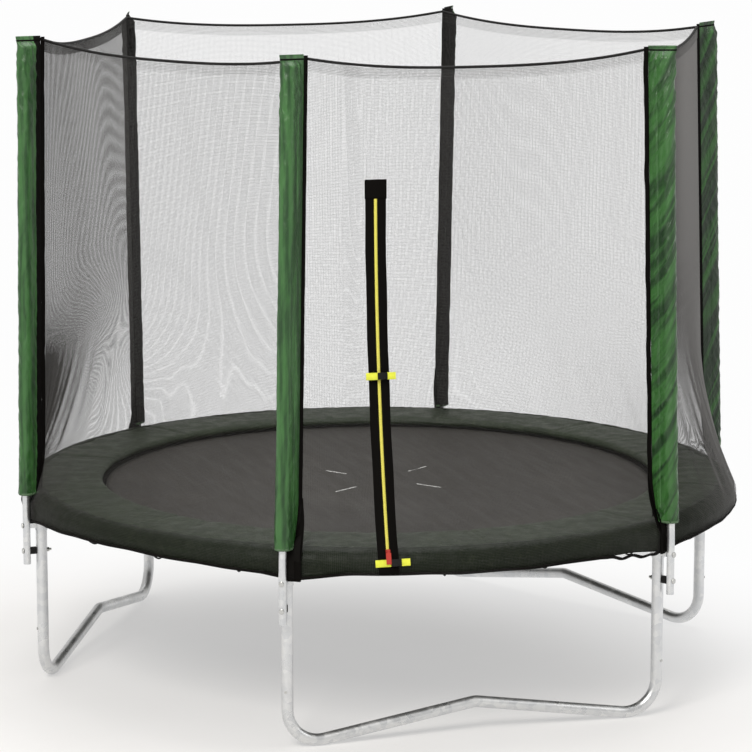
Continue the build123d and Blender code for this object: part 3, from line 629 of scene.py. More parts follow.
def net_surface(k, part, u, v):
    """Cloth point at shares u across and v up a piece of net: all, left, right, over_left or over_right."""
    if part == "all":
        z = foot_edge(k, u) + v * (top_edge(u) - foot_edge(k, u))
        return panel_at(k, u, z), u, z
    side = -1 if "left" in part else 1
    middle = float(zip_share(np.array(ZIP_TOP[2])))
    if part in ("left", "right"):
        share = u * middle if side < 0 else middle + u * (1 - middle)
        z = foot_edge(k, share) + v * (top_edge(share) - foot_edge(k, share))
        at_zip = zip_share(z)
        share = u * at_zip if side < 0 else at_zip + u * (1 - at_zip)
        near = smoothstep(u, 0.45, 1.0) if side < 0 else 1 - smoothstep(u, 0.0, 0.55)
        shift = zip_edge(side * NET_EDGE, z) - panel_at(k, at_zip, z)
        return panel_at(k, share, z) + shift * near[..., None], share, z
    foot = ZIP_TOP[2] - 0.006
    z = foot + v * (top_edge(middle) - foot)
    across = -NET_EDGE * (1 - u) if side < 0 else NET_EDGE * u
    return zip_edge(0.0, z) + SIDEWAYS * across[..., None], np.full_like(z, middle), z


def net_points(k, part, u, v, lift=0.0):
    """Cloth points with their slack, and the normals that stand outward."""
    step = 1e-3
    point, share, z = net_surface(k, part, u, v)
    right = net_surface(k, part, u + step, v)[0] - net_surface(k, part, u - step, v)[0]
    up = net_surface(k, part, u, v + step)[0] - net_surface(k, part, u, v - step)[0]
    normal = unit(np.cross(right, up))
    stand = slack(k, share, z)
    if part != "all":
        zip_gap = np.abs(share - zip_share(z))
        stand = stand * smoothstep(zip_gap, 0.0, 0.15)
    return point + normal * (stand + lift)[..., None], normal


def lattice(k, part, width, height, low=0.0, lift=0.0, phase=0.0):
    """Crossed threads over one piece of net, from a share of its height up to its top."""
    columns, rows = round(width / NET_PITCH), round(height * (1 - low) / NET_PITCH)
    steps_up = max(3, round(LEVELS * (1 - low) * height / 1.55))
    steps_across = max(3, round(width / 0.055))
    u, v = (np.arange(columns) + 0.5 + phase) / columns, np.linspace(low, 1, steps_up)
    upright = np.meshgrid(u, v, indexing="ij")
    u, v = np.linspace(0, 1, steps_across), low + (1 - low) * (np.arange(rows) + 0.5 + phase) / rows
    level = np.meshgrid(v, u, indexing="ij")[::-1]
    sets = [net_points(k, part, u, v, lift) for u, v in (upright, level)]
    return [threads(paths, normals, THREAD_WIDTH, THREAD_DEPTH) for paths, normals in sets]


def panel_size(k, part):
    """Flat width and height of one piece of net, measured along its surface."""
    shares, middle = np.linspace(0, 1, 25), np.full(25, 0.5)
    lines = net_surface(k, part, shares, middle)[0], net_surface(k, part, middle, shares)[0]
    return tuple(length(np.diff(line, axis=0)).sum() for line in lines)


def make_net(k, part, name):
    net_grids, hem_grids = [], []
    for one in (part,) if part == "all" else (part, "over_" + part):
        width, height = panel_size(k, one)
        net_grids += lattice(k, one, width, height)
        hem_grids += lattice(k, one, width, height, 1 - HEM_DEPTH / height, HEM_LIFT, HEM_PHASE)
    net = make_piece("net_" + name, *join_grids(net_grids), NET, smooth=False)
    hem = make_piece("net_hem_" + name, *join_grids(hem_grids), NET, smooth=False)
    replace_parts(net, "net_panel_" + name)
    flat = panel_size(k, part)


def make_all_nets():
    for k, name in enumerate(PANEL_NAMES):
        if k == FRONT:
            make_net(k, "left", "front_left")
            make_net(k, "right", "front_right")
        else:
            make_net(k, "all", name)


# ---------------------------------------------------------------- hems, rope and seam bindings
FOOT_HEM = ((0.0012, 0.0065), (0.0020, 0.0030), (0.0006, -0.0010), (-0.0060, -0.0030), (-0.0140, 0.0010))


def make_foot_hem(k):
    """Narrow folded hem round the net's foot, turned in under the skirt's edge."""
    u = np.linspace(0, 1, 160)
    base = panel_at(k, u, foot_edge(k, u))
    out = unit(base * (1, 1, 0))
    rows = []
    for reach, drop in FOOT_HEM:
        wave = 0.0008 * np.sin(60 * u + 900 * drop)
        rows.append(base + out * (reach + wave)[:, None] + UP * drop)
    return np.stack(rows, 0), grid_faces(len(rows), len(u))


def make_hems():
    points, faces = join_grids([make_foot_hem(k) for k in range(POLE_COUNT)])
    thicken(make_piece("net_foot_hem", points, faces, BLACK_INNER), 0.0012)


def make_ropes():
    spans = []
    for k in range(POLE_COUNT):
        shares = np.linspace(0, 1, 19)
        edge = panel_at(k, shares, top_edge(shares)) + (0, 0, ROPE_R + 0.0005)
        spans.append(cord_tube(f"net_top_rope_{k + 1}", edge, ROPE_R + HEM_CLOTH))
    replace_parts(spans[0], "net_top_rope")


def pole_axes(k):
    """Axes of pole k at its bend: X along its flap, and Z up the leaning pole."""
    inward, sideways = POLE_TRAVEL[k]
    axis = unit(np.array((-inward, sideways, LEAN_HEIGHT)))
    t = math.radians(FLAP_TURN[k])
    toward = np.array((-math.cos(t), math.sin(t), 0))
    x = unit(toward - axis * (toward @ axis))
    out, round_by = heading(LEG_ANGLES[k]), heading(LEG_ANGLES[k] + 90)
    spin = np.array(((out[0], round_by[0], 0), (out[1], round_by[1], 0), (0, 0, 1)))
    return spin @ np.stack([x, np.cross(axis, x), axis], 1)


def on_pole(k, points):
    """Points along pole k's axes, moved to where the pole is."""
    origin = np.array((*POLE_RADIUS * heading(LEG_ANGLES[k]), POLE_BEND_Z))
    return np.asarray(points).reshape(-1, 3) @ pole_axes(k).T + origin


def along_pole(k, z):
    return (z - POLE_BEND_Z) * math.hypot(LEAN_HEIGHT, *POLE_TRAVEL[k]) / LEAN_HEIGHT


SLEEVE_R = 0.0238
TIP_R = 0.0025
FLAP_END = SEAM_REACH - BINDING_WIDTH
BLACK_FROM = (0.036, 0.020, 0.020, 0.020, -0.006, -0.006)
FAR_POLES = (4, 5)                      # poles whose flaps are black on both sides
BARE_POLE = 3                           # the pole whose strap lies against its sleeve, with no gusset
STRAP_WIDTH = (0.020, 0.022, 0.022, 0.009, 0.018, 0.018)
FOLD_LEAN = (4, 4, -6, 6, 4, 4)         # how steeply the creases wind round each sleeve
FOLD_DEPTH = (1.0, 0.9, 1.5, 1.5, 1.0, 1.0)
SEAM_X = 0.0285                         # where the flap is stitched to the tube
SLEEVE_COLUMNS = 96
FLAP_NARROWING = 0.014                  # of the flap at the sleeve's foot
SLEEVE_ROWS = 360


def teardrop(reach):
    """Outline of a sleeve with its flap along +X, evenly spaced, from the tip round to the tip."""
    lean = math.acos((SLEEVE_R - TIP_R) / (reach - TIP_R))
    tip = polar(TIP_R, np.linspace(0, lean, 6), 0)[:, :2] + (reach - TIP_R, 0)
    tube_arc = polar(SLEEVE_R, np.linspace(lean, 2 * math.pi - lean, 60), 0)[:, :2]
    line = np.concatenate([tip, tube_arc, tip[::-1] * (1, -1)])
    gone = np.concatenate([[0], np.cumsum(length(np.diff(line, axis=0)))])
    even = np.linspace(0, gone[-1], SLEEVE_COLUMNS + 1)[:-1]
    return np.stack([np.interp(even, gone, line[:, i]) for i in range(2)], 1), even / gone[-1]


def outline_normals(line):
    return unit(np.gradient(line, axis=0)[:, ::-1] * (1, -1))


def narrowed(reach, foot=1.0):
    """Reach along the flap, drawn in towards the tube at the sleeve's foot."""
    share = 1 - FLAP_NARROWING * foot / (FLAP_END - SLEEVE_R)
    return np.where(reach > SLEEVE_R, SLEEVE_R + (reach - SLEEVE_R) * share, reach)


def sleeve_crease(k, share, height, total):
    """Depth of the creases: slanting folds of slack cloth, stronger near both ends, with fine crumples."""
    seed = Vector((7.3 * k, 3.1 * k, 0))
    span = height / total
    ends = 0.45 + 0.55 * float(smoothstep(span, 0.80, 0.97) + 1 - smoothstep(span, 0.02, 0.14))
    turn, lean = 2 * math.pi * share, FOLD_LEAN[k] * share
    wide = ring_noise(turn, 0.8, height * 7, seed)
    folds = ridge(ring_noise(turn, 1.1, height * 21 + lean, seed), 2.6)
    sharp = ridge(ring_noise(turn, 1.9, height * 38 + 1.6 * lean, -seed), 2.6)
    fine = ridge(ring_noise(turn, 3.6, height * 85 - lean, seed), 2.4)
    return 0.0018 * wide + ends * FOLD_DEPTH[k] * (0.0022 * folds + 0.0012 * sharp + 0.0003 * fine) - 0.0004


def sleeve_ring(k, outline, shares, h, low, high):
    """The sleeve's outline at a height: creased, stitched to the pole, and drawn flat over its top."""
    close = float(smoothstep(high - h, 0.040, 0.009))
    stitched = float(np.exp(-(((high - 0.011 - h) / 0.0022) ** 2)))
    foot = float(1 - smoothstep(h - low, 0.0, 0.150))
    reach = outline[:, 0]
    depth = np.array([sleeve_crease(k, s, h, high - low) for s in shares])
    flap = smoothstep(reach, SEAM_X - 0.004, SEAM_X + 0.006)
    depth = np.where(flap > 0, depth * (1 + 0.4 * flap), np.maximum(depth, -0.0012))
    depth -= 0.0017 * np.exp(-(((reach - SEAM_X) / 0.0022) ** 2)) * (reach > SEAM_X - 0.006)
    held = smoothstep(FLAP_END - reach, 0.0, 0.02) * (1 - 0.8 * close)
    x, y = (outline + outline_normals(outline) * (depth * held)[:, None]).T
    x = narrowed(x, foot)
    x = x - 0.009 * close * (FLAP_END - x) / (FLAP_END + SLEEVE_R)
    y = y * (1 - close * 0.955 - 0.02 * stitched) + 0.0012 * close * math.sin(300 * h)
    return np.stack([x, y, np.full(len(x), h)], 1)


def make_sleeve(k):
    """Fabric tube round a padded pole with its flap towards the net, sewn flat over the pole's top."""
    low, high = along_pole(k, SLEEVE_LOW), along_pole(k, SLEEVE_HIGH)
    outline, shares = teardrop(FLAP_END)
    heights = low + (high - low) * np.linspace(0, 1, SLEEVE_ROWS)
    points = np.stack([sleeve_ring(k, outline, shares, h, low, high) for h in heights], 0)
    faces = grid_faces(SLEEVE_ROWS, SLEEVE_COLUMNS, close_columns=True)
    cap = [(SLEEVE_ROWS - 1) * SLEEVE_COLUMNS + i for i in range(SLEEVE_COLUMNS)]
    sleeve = make_piece(f"pole_sleeve_{k + 1}", on_pole(k, points), faces.tolist() + [cap], GREEN)
    sleeve.data.materials.append(BLACK_INNER)
    inner = 1 if FLAP_TURN[k] > 0 else -1               # the flap's side that faces the jumping space
    for face in sleeve.data.polygons[:len(faces)]:
        x, y = outline[face.index % SLEEVE_COLUMNS]
        if x > BLACK_FROM[k] and (y * inner > 0 or k in FAR_POLES):
            face.material_index = 1
    sleeve_trim(k, outline, low)
    sleeve_seam(k, points, int(np.argmin(np.abs(heights - (high - 0.0115)))))
    return sleeve


def sleeve_seam(k, points, row):
    """Raised line of stitches across the closed top of a sleeve."""
    lines = []
    for place, out in ((row - 1, 0.0001), (row - 0.4, 0.0009), (row + 0.2, 0.0001)):
        below, above = points[math.floor(place)], points[math.ceil(place)]
        base = below + (above - below) * (place % 1)
        stand = outline_normals(base[:, :2]) * out
        lines.append(np.concatenate([base[:, :2] + stand, base[:, 2:]], 1))
    faces = grid_faces(3, SLEEVE_COLUMNS, close_columns=True)
    make_piece(f"sleeve_seam_{k + 1}", on_pole(k, lines), faces, WEBBING)


def sleeve_trim(k, outline, low):
    """Bound edge round the sleeve's open foot."""
    path = np.stack([narrowed(outline[:, 0]), outline[:, 1]], 1)
    rows = []
    for out, h in ((0.0005, 0.004), (0.0016, 0.003), (0.0018, -0.001), (0.0005, -0.004), (-0.001, -0.003)):
        line = path + outline_normals(outline) * out
        rows.append(np.concatenate([line, np.full((len(path), 1), low + h)], 1))
    faces = grid_faces(len(rows), len(path), close_columns=True)
    make_piece(f"sleeve_trim_{k + 1}", on_pole(k, rows), faces, TRIM)


def make_bindings(k):
    """Black binding down the flap's seam, and the strap that runs on from it over the pad to the frame."""
    low = along_pole(k, SLEEVE_LOW + 0.012)
    heights = np.linspace(low, along_pole(k, NET_CORNER_Z + 0.016), 90)
    wave = 0.0010 * np.sin(heights * 21 + k) + 0.0006 * np.sin(heights * 57 + 2 * k)
    reach = SEAM_REACH - BINDING_WIDTH / 2 - FLAP_NARROWING * (1 - smoothstep(heights - low, 0.0, 0.140))
    centres = on_pole(k, np.stack([reach + wave, wave * 0.8, heights], 1))
    axes = pole_axes(k)
    binding = closed_strip(centres, axes[:, 0], axes[:, 1], BINDING_WIDTH, 0.0030)
    z = np.linspace(NET_FLARE_Z + CORNER_FLARE - 0.010, skirt_foot(math.radians(LEG_ANGLES[k])) - 0.004, 30)
    path = np.concatenate([net_corner(k, z), z[:, None]], 1)
    out = unit(path * (1, 1, 0))
    width = STRAP_WIDTH[k] * (0.35 + 0.65 * smoothstep(z[0] - z, 0.0, 0.09))
    strap = closed_strip(path + out * 0.0025, np.cross(UP, out), out, width, 0.0016)
    return make_piece(f"net_binding_{k + 1}", *join_grids([binding, strap]), WEBBING)


def make_foot_patch(k):
    """Black cloth sewn to the net's foot, from the pole across to the strap."""
    strap = net_corner(k, np.array(NET_FOOT_Z))
    start = math.radians(LEG_ANGLES[k])
    sweep = math.remainder(math.atan2(strap[1], strap[0]) - start, 2 * math.pi) * 1.18
    across, up = np.linspace(0, 1, 20), np.linspace(0, 1, 14)[:, None]
    turn = start + sweep * across
    z = 0.5485 + (0.640 + 0.055 * (0.5 - 0.5 * np.cos(across * math.pi)) - 0.5485) * up
    r = NET_RING_R + 0.0020 + 0.0011 * np.sin(turn * 190 + 3 * up) - 0.030 * smoothstep(z, 0.625, 0.72)
    thicken(make_piece(f"net_foot_patch_{k + 1}", polar(r, turn, z), grid_faces(14, 20), BLACK_INNER), 0.0010)


def make_gusset(k):
    """Black cloth between the flap's binding and the strap, where the net swings out to the ring."""
    z = np.linspace(SLEEVE_LOW + 0.004, NET_FLARE_Z + CORNER_FLARE + 0.030, 30)
    narrow = FLAP_NARROWING * (1 - smoothstep(z - SLEEVE_LOW - 0.012, 0.0, 0.140))
    flap = on_pole(k, np.stack([SEAM_REACH - BINDING_WIDTH - narrow + 0.004, 0 * z, along_pole(k, z)], 1))
    strap = np.concatenate([net_corner(k, z), z[:, None]], 1)
    share = np.linspace(0, 1, 12)[:, None, None]
    wave = 0.004 * np.sin(z * 46 + k) * smoothstep(z.max() - z, 0, 0.08)
    billow = np.sin(share * math.pi) * wave[None, :, None]
    points = flap + (strap - flap) * share + billow * pole_axes(k)[:, 1]
    thicken(make_piece(f"net_gusset_{k + 1}", points, grid_faces(12, 30), BLACK_INNER), 0.0008)


def make_pole_cloth():
    sleeves, bindings = [], []
    for k in range(POLE_COUNT):
        sleeves.append(make_sleeve(k))
        bindings.append(make_bindings(k))
        make_foot_patch(k)
        if k != BARE_POLE:
            make_gusset(k)
    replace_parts(sleeves[0], "pole_sleeves")
    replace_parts(bindings[0], "net_bindings")


# ---------------------------------------------------------------- spring pad
PAD_STEPS = 720
PAD_PROFILE = 40
PAD_SEAMS = 12
SHOULDER_R = 1.190
CLOTH_SETTINGS = {"quality": 4, "use_pressure": True, "uniform_pressure_force": 3.0, "tension_stiffness": 20,
                  "compression_stiffness": 12, "bending_stiffness": 0.4}
CLOTH_FRAMES = 14
SKIRT_BEND = ((1.165, 0.6485), (1.182, 0.6500), (1.199, 0.6465), (1.213, 0.6380), (1.222, 0.6260),
              (1.2265, 0.6120))
SKIRT_TOP = 0.612                       # where the skirt starts to hang straight down
SKIRT_FALLS = 9                         # rows of points in its straight part
SKIRT_STEPS = 1080


def pad_profile():
    """Closed section of the pad: (radius, height) pairs from the inner lower edge round to it."""
    inner, outer, low, top = PAD_INNER_R + 0.006, SHOULDER_R + 0.020, PAD_LOW + 0.002, PAD_TOP - 0.004
    middle, half_width, half_height = (inner + outer) / 2, (outer - inner) / 2, (top - low) / 2
    a = np.linspace(0, 2 * math.pi, PAD_PROFILE, endpoint=False)
    x = np.sign(np.cos(a)) * np.abs(np.cos(a)) ** 0.42
    y = np.sign(np.sin(a)) * np.abs(np.sin(a)) ** 0.55
    return np.stack([middle + half_width * x, (low + top) / 2 + half_height * y], 1), a


def make_pad():
    """Ring cushion over the springs: foam in a coated cover, sewn across at its joins and puffed between."""
    profile, around = pad_profile()
    turn = np.linspace(0, 2 * math.pi, PAD_STEPS, endpoint=False)
    points = polar(profile[:, 0], turn[:, None], profile[:, 1])
    faces = grid_faces(PAD_STEPS, PAD_PROFILE, close_rows=True, close_columns=True)
    pad = make_piece("spring_pad", points, faces[:, ::-1], PAD, body=None)
    inflate(pad, 0.007)
    co = np.array([v.co for v in pad.data.vertices]).reshape(PAD_STEPS, PAD_PROFILE, 3)
    rise = np.sin(around)
    seam = np.abs(((turn / (2 * math.pi) * PAD_SEAMS + 0.5) % 1) - 0.5) / PAD_SEAMS * 2 * math.pi * 1.07
    dip = np.exp(-((seam / 0.008) ** 2))
    for i, t in enumerate(turn):
        for j in range(PAD_PROFILE):
            if rise[j] <= 0.05:
                continue
            x, y = co[i, j, :2]
            radial = math.hypot(x, y)
            crease = ridge(ring_noise(t, 16, radial * 5), 2.8)
            ripple = noise.noise(Vector((x * 9, y * 9, 3.0)))
            edge = smoothstep(radial, PAD_INNER_R, PAD_INNER_R + 0.02)
            puff = (0.0022 * crease + 0.0024 * ripple) * float(edge) - 0.007 * dip[i]
            co[i, j, 2] += puff * rise[j]
    pad.data.vertices.foreach_set("co", co.reshape(-1))
    pad.data.update()
    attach(pad, "frame")
    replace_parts(pad, "frame_pad")
    make_skirt()


def inflate(piece, limit):
    """Cloth simulation with pressure, its move capped at limit, applied to the mesh."""
    start = np.array([v.co for v in piece.data.vertices])
    bpy.context.view_layer.objects.active = piece
    piece.select_set(True)
    cloth = piece.modifiers.new("cloth", "CLOTH")
    for key, value in CLOTH_SETTINGS.items():
        setattr(cloth.settings, key, value)
    cloth.settings.effector_weights.gravity = 0
    cloth.point_cache.frame_end = CLOTH_FRAMES
    for step in range(1, CLOTH_FRAMES + 1):
        bpy.context.scene.frame_set(step)
    seen = piece.evaluated_get(bpy.context.evaluated_depsgraph_get())
    moved = np.array([v.co for v in seen.data.vertices]) - start
    piece.modifiers.remove(cloth)
    bpy.context.scene.frame_set(1)
    moved *= np.minimum(1, limit / np.maximum(length(moved), 1e-9))[:, None]
    piece.data.vertices.foreach_set("co", (start + moved).reshape(-1))
    piece.data.update()


def make_skirt():
    """Sheet from the pad's outer seam over the rail and down outside it, hanging in shallow folds."""
    turn = np.linspace(0, 2 * math.pi, SKIRT_STEPS, endpoint=False)
    rows = []
    for i in range(len(SKIRT_BEND) + SKIRT_FALLS):
        hang = max(0, i - len(SKIRT_BEND) + 1) / SKIRT_FALLS
        share = min(1.0, i / (len(SKIRT_BEND) - 1))
        row = []
        for t in turn:
            if i < len(SKIRT_BEND):
                r, z = SKIRT_BEND[i]
            else:
                r, z = 1.2270 - 0.004 * hang * hang, SKIRT_TOP + (skirt_foot(t) - SKIRT_TOP) * hang
            fold = ring_noise(t, 22, z * 9)
            small = ring_noise(t, 70, z * 22)
            slope = ridge(ring_noise(t, 30, z * 30 + 4), 2.6)
            puckers = 0.0022 * fold * (0.5 + hang) + 0.0010 * small + 0.0014 * slope * (0.4 + 0.6 * hang)
            row.append((r + share * puckers - 0.001, t, z + (1 - hang) * 0.0015 * (fold + small)))
        rows.append(polar(*np.array(row).T))
    faces = grid_faces(len(rows), SKIRT_STEPS, close_columns=True)
    skirt = make_piece("pad_skirt", rows, faces, SHADED_SKIRT_COVER)
    thicken(skirt, 0.0012)
    hem = make_skirt_hem(turn[::2])


def make_skirt_hem(turn):
    """Folded and stitched hem round the skirt's foot."""
    folds = np.array([ring_noise(t, 22, float(skirt_foot(t)) * 9) for t in turn])
    centres = polar(1.2228 + 0.0022 * folds * 1.5, turn, skirt_foot(turn) + 0.006)
    points, faces = strip(centres, UP, polar(1.0, turn, 0.0), 0.013, 0.0032, loop=True)
    return make_piece("pad_skirt_hem", points, faces, SHADED_SKIRT_COVER)


# ---------------------------------------------------------------- springs, mat and ties
SPRING_Z = 0.607
SPRING_COIL = (1.045, 1.150)            # from the middle of the mat to the coil's two ends
SPRING_TURNS = 27
COIL_R = 0.0082
WIRE_R = 0.0016
MAT_EDGE_R = 0.998
LOOP_ROUTE = ((0.957, 0.0014), (0.970, 0.0016), (0.9775, 0.0004), (0.9800, -0.0045), (0.9775, -0.0098),
              (0.970, -0.0112), (0.957, -0.0066))


def spring_angles():
    for k in range(POLE_COUNT):
        for i in range(SPRINGS_PER_RAIL):
            yield float(from_leg(k, (i + 0.5) / SPRINGS_PER_RAIL))


def spring_shape():
    """A wound spring over the +X axis: a close coil with a hook at each end."""
    line = [(1.030, 0.0, -0.010), (1.026, 0.0, -0.006), (1.026, 0.0, 0.002), (1.034, 0.0, 0.004)]
    line.append((1.041, 0.0, 0.0))
    start, end = SPRING_COIL
    for s in np.linspace(0, 1, SPRING_TURNS * 9):
        a = 2 * math.pi * SPRING_TURNS * s
        r = COIL_R * min(1.0, s * 30, (1 - s) * 30 + 0.01)
        line.append((start + (end - start) * s, r * math.sin(a), r * math.cos(a)))
    line += [(1.156, 0.0, 0.0), (1.176, 0.0, 0.0), (1.186, 0.0, -0.001), (1.187, 0.0, -0.009)]
    line = np.array(line) + UP * SPRING_Z
    along = unit(np.gradient(line, axis=0))
    side = unit(np.cross(along, (0.02, 1.0, 0.03)))
    rise = np.cross(along, side)
    ring = line[:, None] + WIRE_R * np.stack([side, rise, -side, -rise], 1)
    return ring.reshape(-1, 3), grid_faces(len(line), 4, close_columns=True)


def make_springs():
    shape, faces = spring_shape()
    for number, angle in enumerate(spring_angles(), 1):
        c, s = math.cos(angle), math.sin(angle)
        points = shape @ np.array(((c, s, 0), (-s, c, 0), (0, 0, 1)))
        spring = make_piece(f"spring_{number}", points, faces, SPRING_STEEL, body=None)
        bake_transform(spring)
        if number == 1:
            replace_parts(spring, "springs")


def make_mat():
    """Stretched woven disc, pulled very slightly out of flat by its springs."""
    rings, steps = 48, 192
    r = np.concatenate([[0.004], np.linspace(0.02, MAT_R, rings - 1)])[:, None]
    t = np.linspace(0, 2 * math.pi, steps, endpoint=False)[None, :]
    pull = 0.0007 * np.cos(POLE_COUNT * SPRINGS_PER_RAIL * t) * smoothstep(r, 0.80, MAT_R)
    z = MAT_TOP - 0.0012 + 0.0006 * np.sin(7 * r * np.cos(t) + 1) * np.sin(6 * r * np.sin(t)) + pull
    faces = grid_faces(rings, steps, close_columns=True).tolist() + [list(range(steps))[::-1]]
    mat = make_piece("mat_cloth", polar(r, t, z), faces, MAT, body="mat")
    thicken(mat, 0.0016)
    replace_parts(mat, "mat")
    marks = make_mat_marks()


def make_mat_edge():
    """Webbing border under the pad, with stitch rows and a folded loop round each ring."""
    t = np.linspace(0, 2 * math.pi, 576, endpoint=False)
    out = polar(1.0, t, 0.0)
    middle, width = (MAT_R + MAT_EDGE_R) / 2, MAT_EDGE_R - MAT_R
    grids = [strip(polar(middle, t, MAT_TOP - 0.0026), out, UP, width, 0.0044, loop=True)]
    for row in (MAT_R + 0.006, MAT_R + 0.016):
        line = polar(row, t, MAT_TOP - 0.0002 + 0.0005 * np.sin(t * 288))
        grids.append(strip(line, out, UP, 0.0012, 0.0009, loop=True))
    reach, rise = np.array(LOOP_ROUTE).T
    for angle in spring_angles():
        centres = polar(reach, angle, MAT_TOP + rise)
        side = polar(1.0, angle + math.pi / 2, 0.0)
        above = np.cross(side, unit(np.gradient(centres, axis=0)))
        grids.append(strip(centres, side, above, 0.026, 0.0014))
    edge = make_piece("mat_edge", *join_grids(grids), WEBBING, body="mat")
    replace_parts(edge, "mat_border")


def make_mat_marks():
    """Four short white dashes woven round the mat's middle."""
    marks = []
    for start, end in MAT_DASHES:
        start, end = np.array((*start, 0.0)), np.array((*end, 0.0))
        centres = start + (end - start) * np.linspace(0, 1, 12)[:, None] + UP * (MAT_TOP + 0.0003)
        marks.append(strip(centres, np.cross(UP, unit(end - start)), UP, 0.007, 0.0008))
    return make_piece("mat_marks", *join_grids(marks), WHITE, body="mat")


def make_ties():
    """Short cords from the net's foot, under the rail, to its inner side."""
    ties = []
    for k in range(POLE_COUNT):
        for i in range(TIES_PER_PANEL):
            turn = from_leg(k, (i + 0.5) / TIES_PER_PANEL)
            foot = float(skirt_foot(turn))
            route = ((1.2320, foot + 0.002), (1.2230, foot - 0.0065), (1.2000, 0.5665), (1.1760, 0.5790))
            reach, z = np.array(route).T
            ties.append(cord_tube(f"net_tie_{k + 1}_{i + 1}", polar(reach, turn, z), TIE_R))
    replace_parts(ties[0], "net_ties")


# ---------------------------------------------------------------- zip
def make_tape():
    """Two woven tapes behind the zip, with the stitched patch at the top."""
    z = np.linspace(ZIP_FOOT[2] - 0.006, ZIP_TOP[2] - 0.004, 70)
    point, _, out = zip_axes(z)
    sway = SIDEWAYS * (0.0008 * np.sin(z * 23))[:, None]
    tape = closed_strip(point + sway, SIDEWAYS, out, TAPE_WIDTH, 0.0016)
    point, _, out = zip_axes(np.linspace(ZIP_TOP[2] - PATCH_HEIGHT, ZIP_TOP[2], 8))
    patch = closed_strip(point + out * 0.0022, SIDEWAYS, out, PATCH_WIDTH, 0.0018)
    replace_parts(make_piece("zip_tape", *join_grids([tape, patch]), WEBBING), "zip_tapes")


def make_teeth():
    """The zip's coil: a row of moulded turns, each set a little to the other side of the last."""
    z = np.arange(TEETH_LOW, ZIP_TOP[2] - PATCH_HEIGHT - 0.001, TOOTH_PITCH)
    shape = ((-0.0048, 0.0009), (-0.0042, 0.0026), (0.0, 0.0031), (0.0042, 0.0026), (0.0048, 0.0009))
    grids = []
    for i, (point, up, out) in enumerate(zip(*zip_axes(z))):
        side = 0.0005 * (-1) ** i
        crown = np.array([point + SIDEWAYS * (x + side) + out * y for x, y in shape])
        rows = [crown - up * 0.0010, crown + out * 0.0005, crown + up * 0.0010]
        grids.append((rows, grid_faces(3, len(shape))))
    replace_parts(make_piece("zip_teeth", *join_grids(grids), ZIP_YELLOW), "zip_coil")


def zip_strap(name, z, start, end, out_by, body, node=None, turn=0.0):
    """Short webbing tab in front of the tape, with a row of stitches along each edge."""
    point, up, out = zip_axes(z)
    t = math.radians(turn)
    across, away = SIDEWAYS * math.cos(t) + out * math.sin(t), out * math.cos(t) - SIDEWAYS * math.sin(t)
    s = np.linspace(start, end, 14)
    belly = 0.0006 * np.sin((s - start) / (end - start) * math.pi)
    centres = point + across * s[:, None] + away * (out_by + 0.00075 + belly)[:, None]
    grids = [strip(centres, up, away, 0.0225, 0.0015)]
    for shift in (-0.0085, 0.0085):
        grids.append(strip(centres[3:11] + up * shift + away * 0.0009, up, away, 0.0012, 0.0006))
    piece = make_piece(name, *join_grids(grids), YELLOW, body=body)
    if node:
        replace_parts(piece, node)


def make_zip_straps():
    high, low = UPPER_STRAP_Z, LOWER_STRAP_Z
    zip_strap("webbing_tab_upper", high, -0.045, -0.0083, 0.0175, "frame", "webbing_tabs")
    zip_strap("webbing_tab_lower", low, -0.042, 0.0075, 0.0045, "frame")
    zip_strap("plug_tab_upper", high, 0.0228, 0.0498, 0.0175, "upper_plug", "plug_webbing_upper")
    zip_strap("plug_tab_lower", low, 0.0408, 0.0678, 0.0075, "lower_plug", "plug_webbing_lower", 8.0)


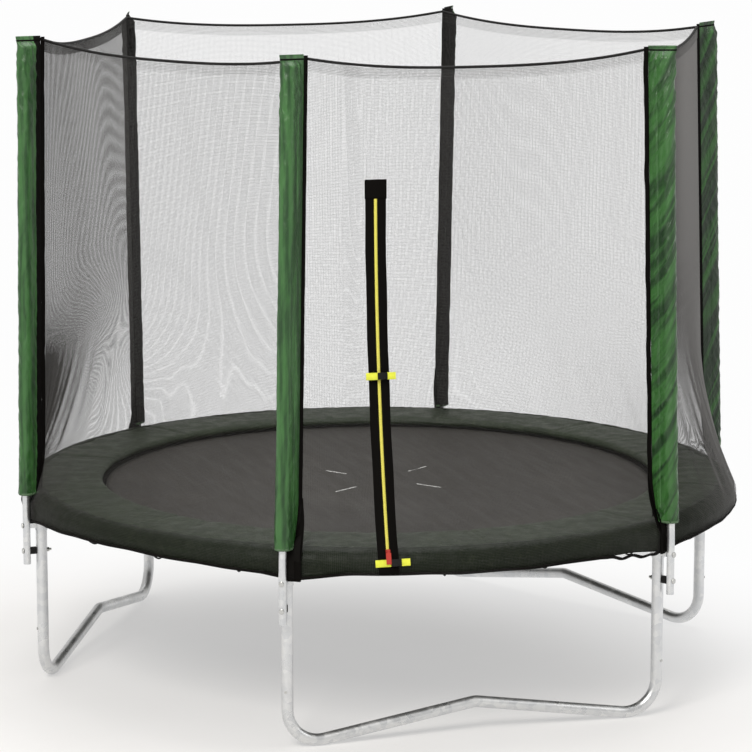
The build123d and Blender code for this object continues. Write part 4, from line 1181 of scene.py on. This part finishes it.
# ---------------------------------------------------------------- stage, light and camera
def make_floor():
    f = Finish("floor", (0.72, 0.70, 0.67), roughness=0.55, specular=0.25)
    # painted light: the floor glows white by emission, at a share of 0.46 within 1.2 m of (-0.75, -0.60) and
    # rising to all glow at 2.9 m, which lifts the shade under the trampoline and leaves an evenly white floor
    # further out
    place = f.node("ShaderNodeVectorMath", {0: f.place, 1: (0.75, 0.60, 0.0)}, operation="ADD").outputs[0]
    away = f.node("ShaderNodeVectorMath", {0: place}, operation="LENGTH").outputs["Value"]
    fade = f.ramp(away, 1.2, 2.9, 0.46, 1.0)
    clouds = f.noise(1.3, 3.0)
    f.colour(clouds, (0.66, 0.635, 0.605), (0.78, 0.765, 0.745))
    glow = f.node("ShaderNodeEmission", {"Color": (1, 1, 1, 1), "Strength": 0.985})
    mixed = f.node("ShaderNodeMixShader", {0: fade, 1: f.shader.outputs[0], 2: glow.outputs[0]})
    f.tree.links.new(mixed.outputs[0], f.tree.nodes["Material Output"].inputs["Surface"])
    reach = 60.0
    points = [(-reach, -reach, 0), (reach, -reach, 0), (reach, reach, 0), (-reach, reach, 0)]
    floor = make_piece("floor", points, [(0, 1, 2, 3)], f.material, body=None, smooth=False)


def add_area(name, place, target, size, power, colour=(1, 1, 1)):
    light = bpy.data.lights.new(name, "AREA")
    light.energy = power
    light.size = size
    light.color = colour
    lamp = new_object(name, light)
    lamp.location = place
    lamp.rotation_euler = (Vector(target) - Vector(place)).to_track_quat("-Z", "Y").to_euler()


def make_studio():
    world = bpy.data.worlds.new("studio")
    world.use_nodes = True
    sky = world.node_tree.nodes["Background"].inputs
    sky["Color"].default_value = (1.0, 0.99, 0.975, 1)
    sky["Strength"].default_value = 0.62
    bpy.context.scene.world = world
    add_area("key", (-4.5, -5.5, 6.0), (0, 0, 0.8), 3.0, 520, (1.0, 0.98, 0.95))
    add_area("fill", (5.5, -4.0, 4.0), (0, 0, 1.0), 4.0, 70)
    add_area("top", (0.5, 1.0, 6.5), (0, 0, 0), 5.0, 260)


def make_camera():
    lens = bpy.data.cameras.new("camera")
    lens.sensor_width = 36
    lens.lens = 152.95
    lens.clip_end = 300
    eye = new_object("camera", lens)
    eye.location = (-3.2694, -10.3680, 2.9293)
    eye.rotation_euler = Euler((math.radians(90 - 10.153), 0, math.radians(-17.448)))
    bpy.context.scene.camera = eye


bpy.context.scene.view_settings.view_transform = "Standard"
for make in (
    make_all_nets, make_hems, make_ropes, make_pole_cloth, make_pad, make_springs, make_mat, make_mat_edge,
    make_ties, make_tape, make_teeth, make_zip_straps, make_floor, make_studio, make_camera,
):
    make()

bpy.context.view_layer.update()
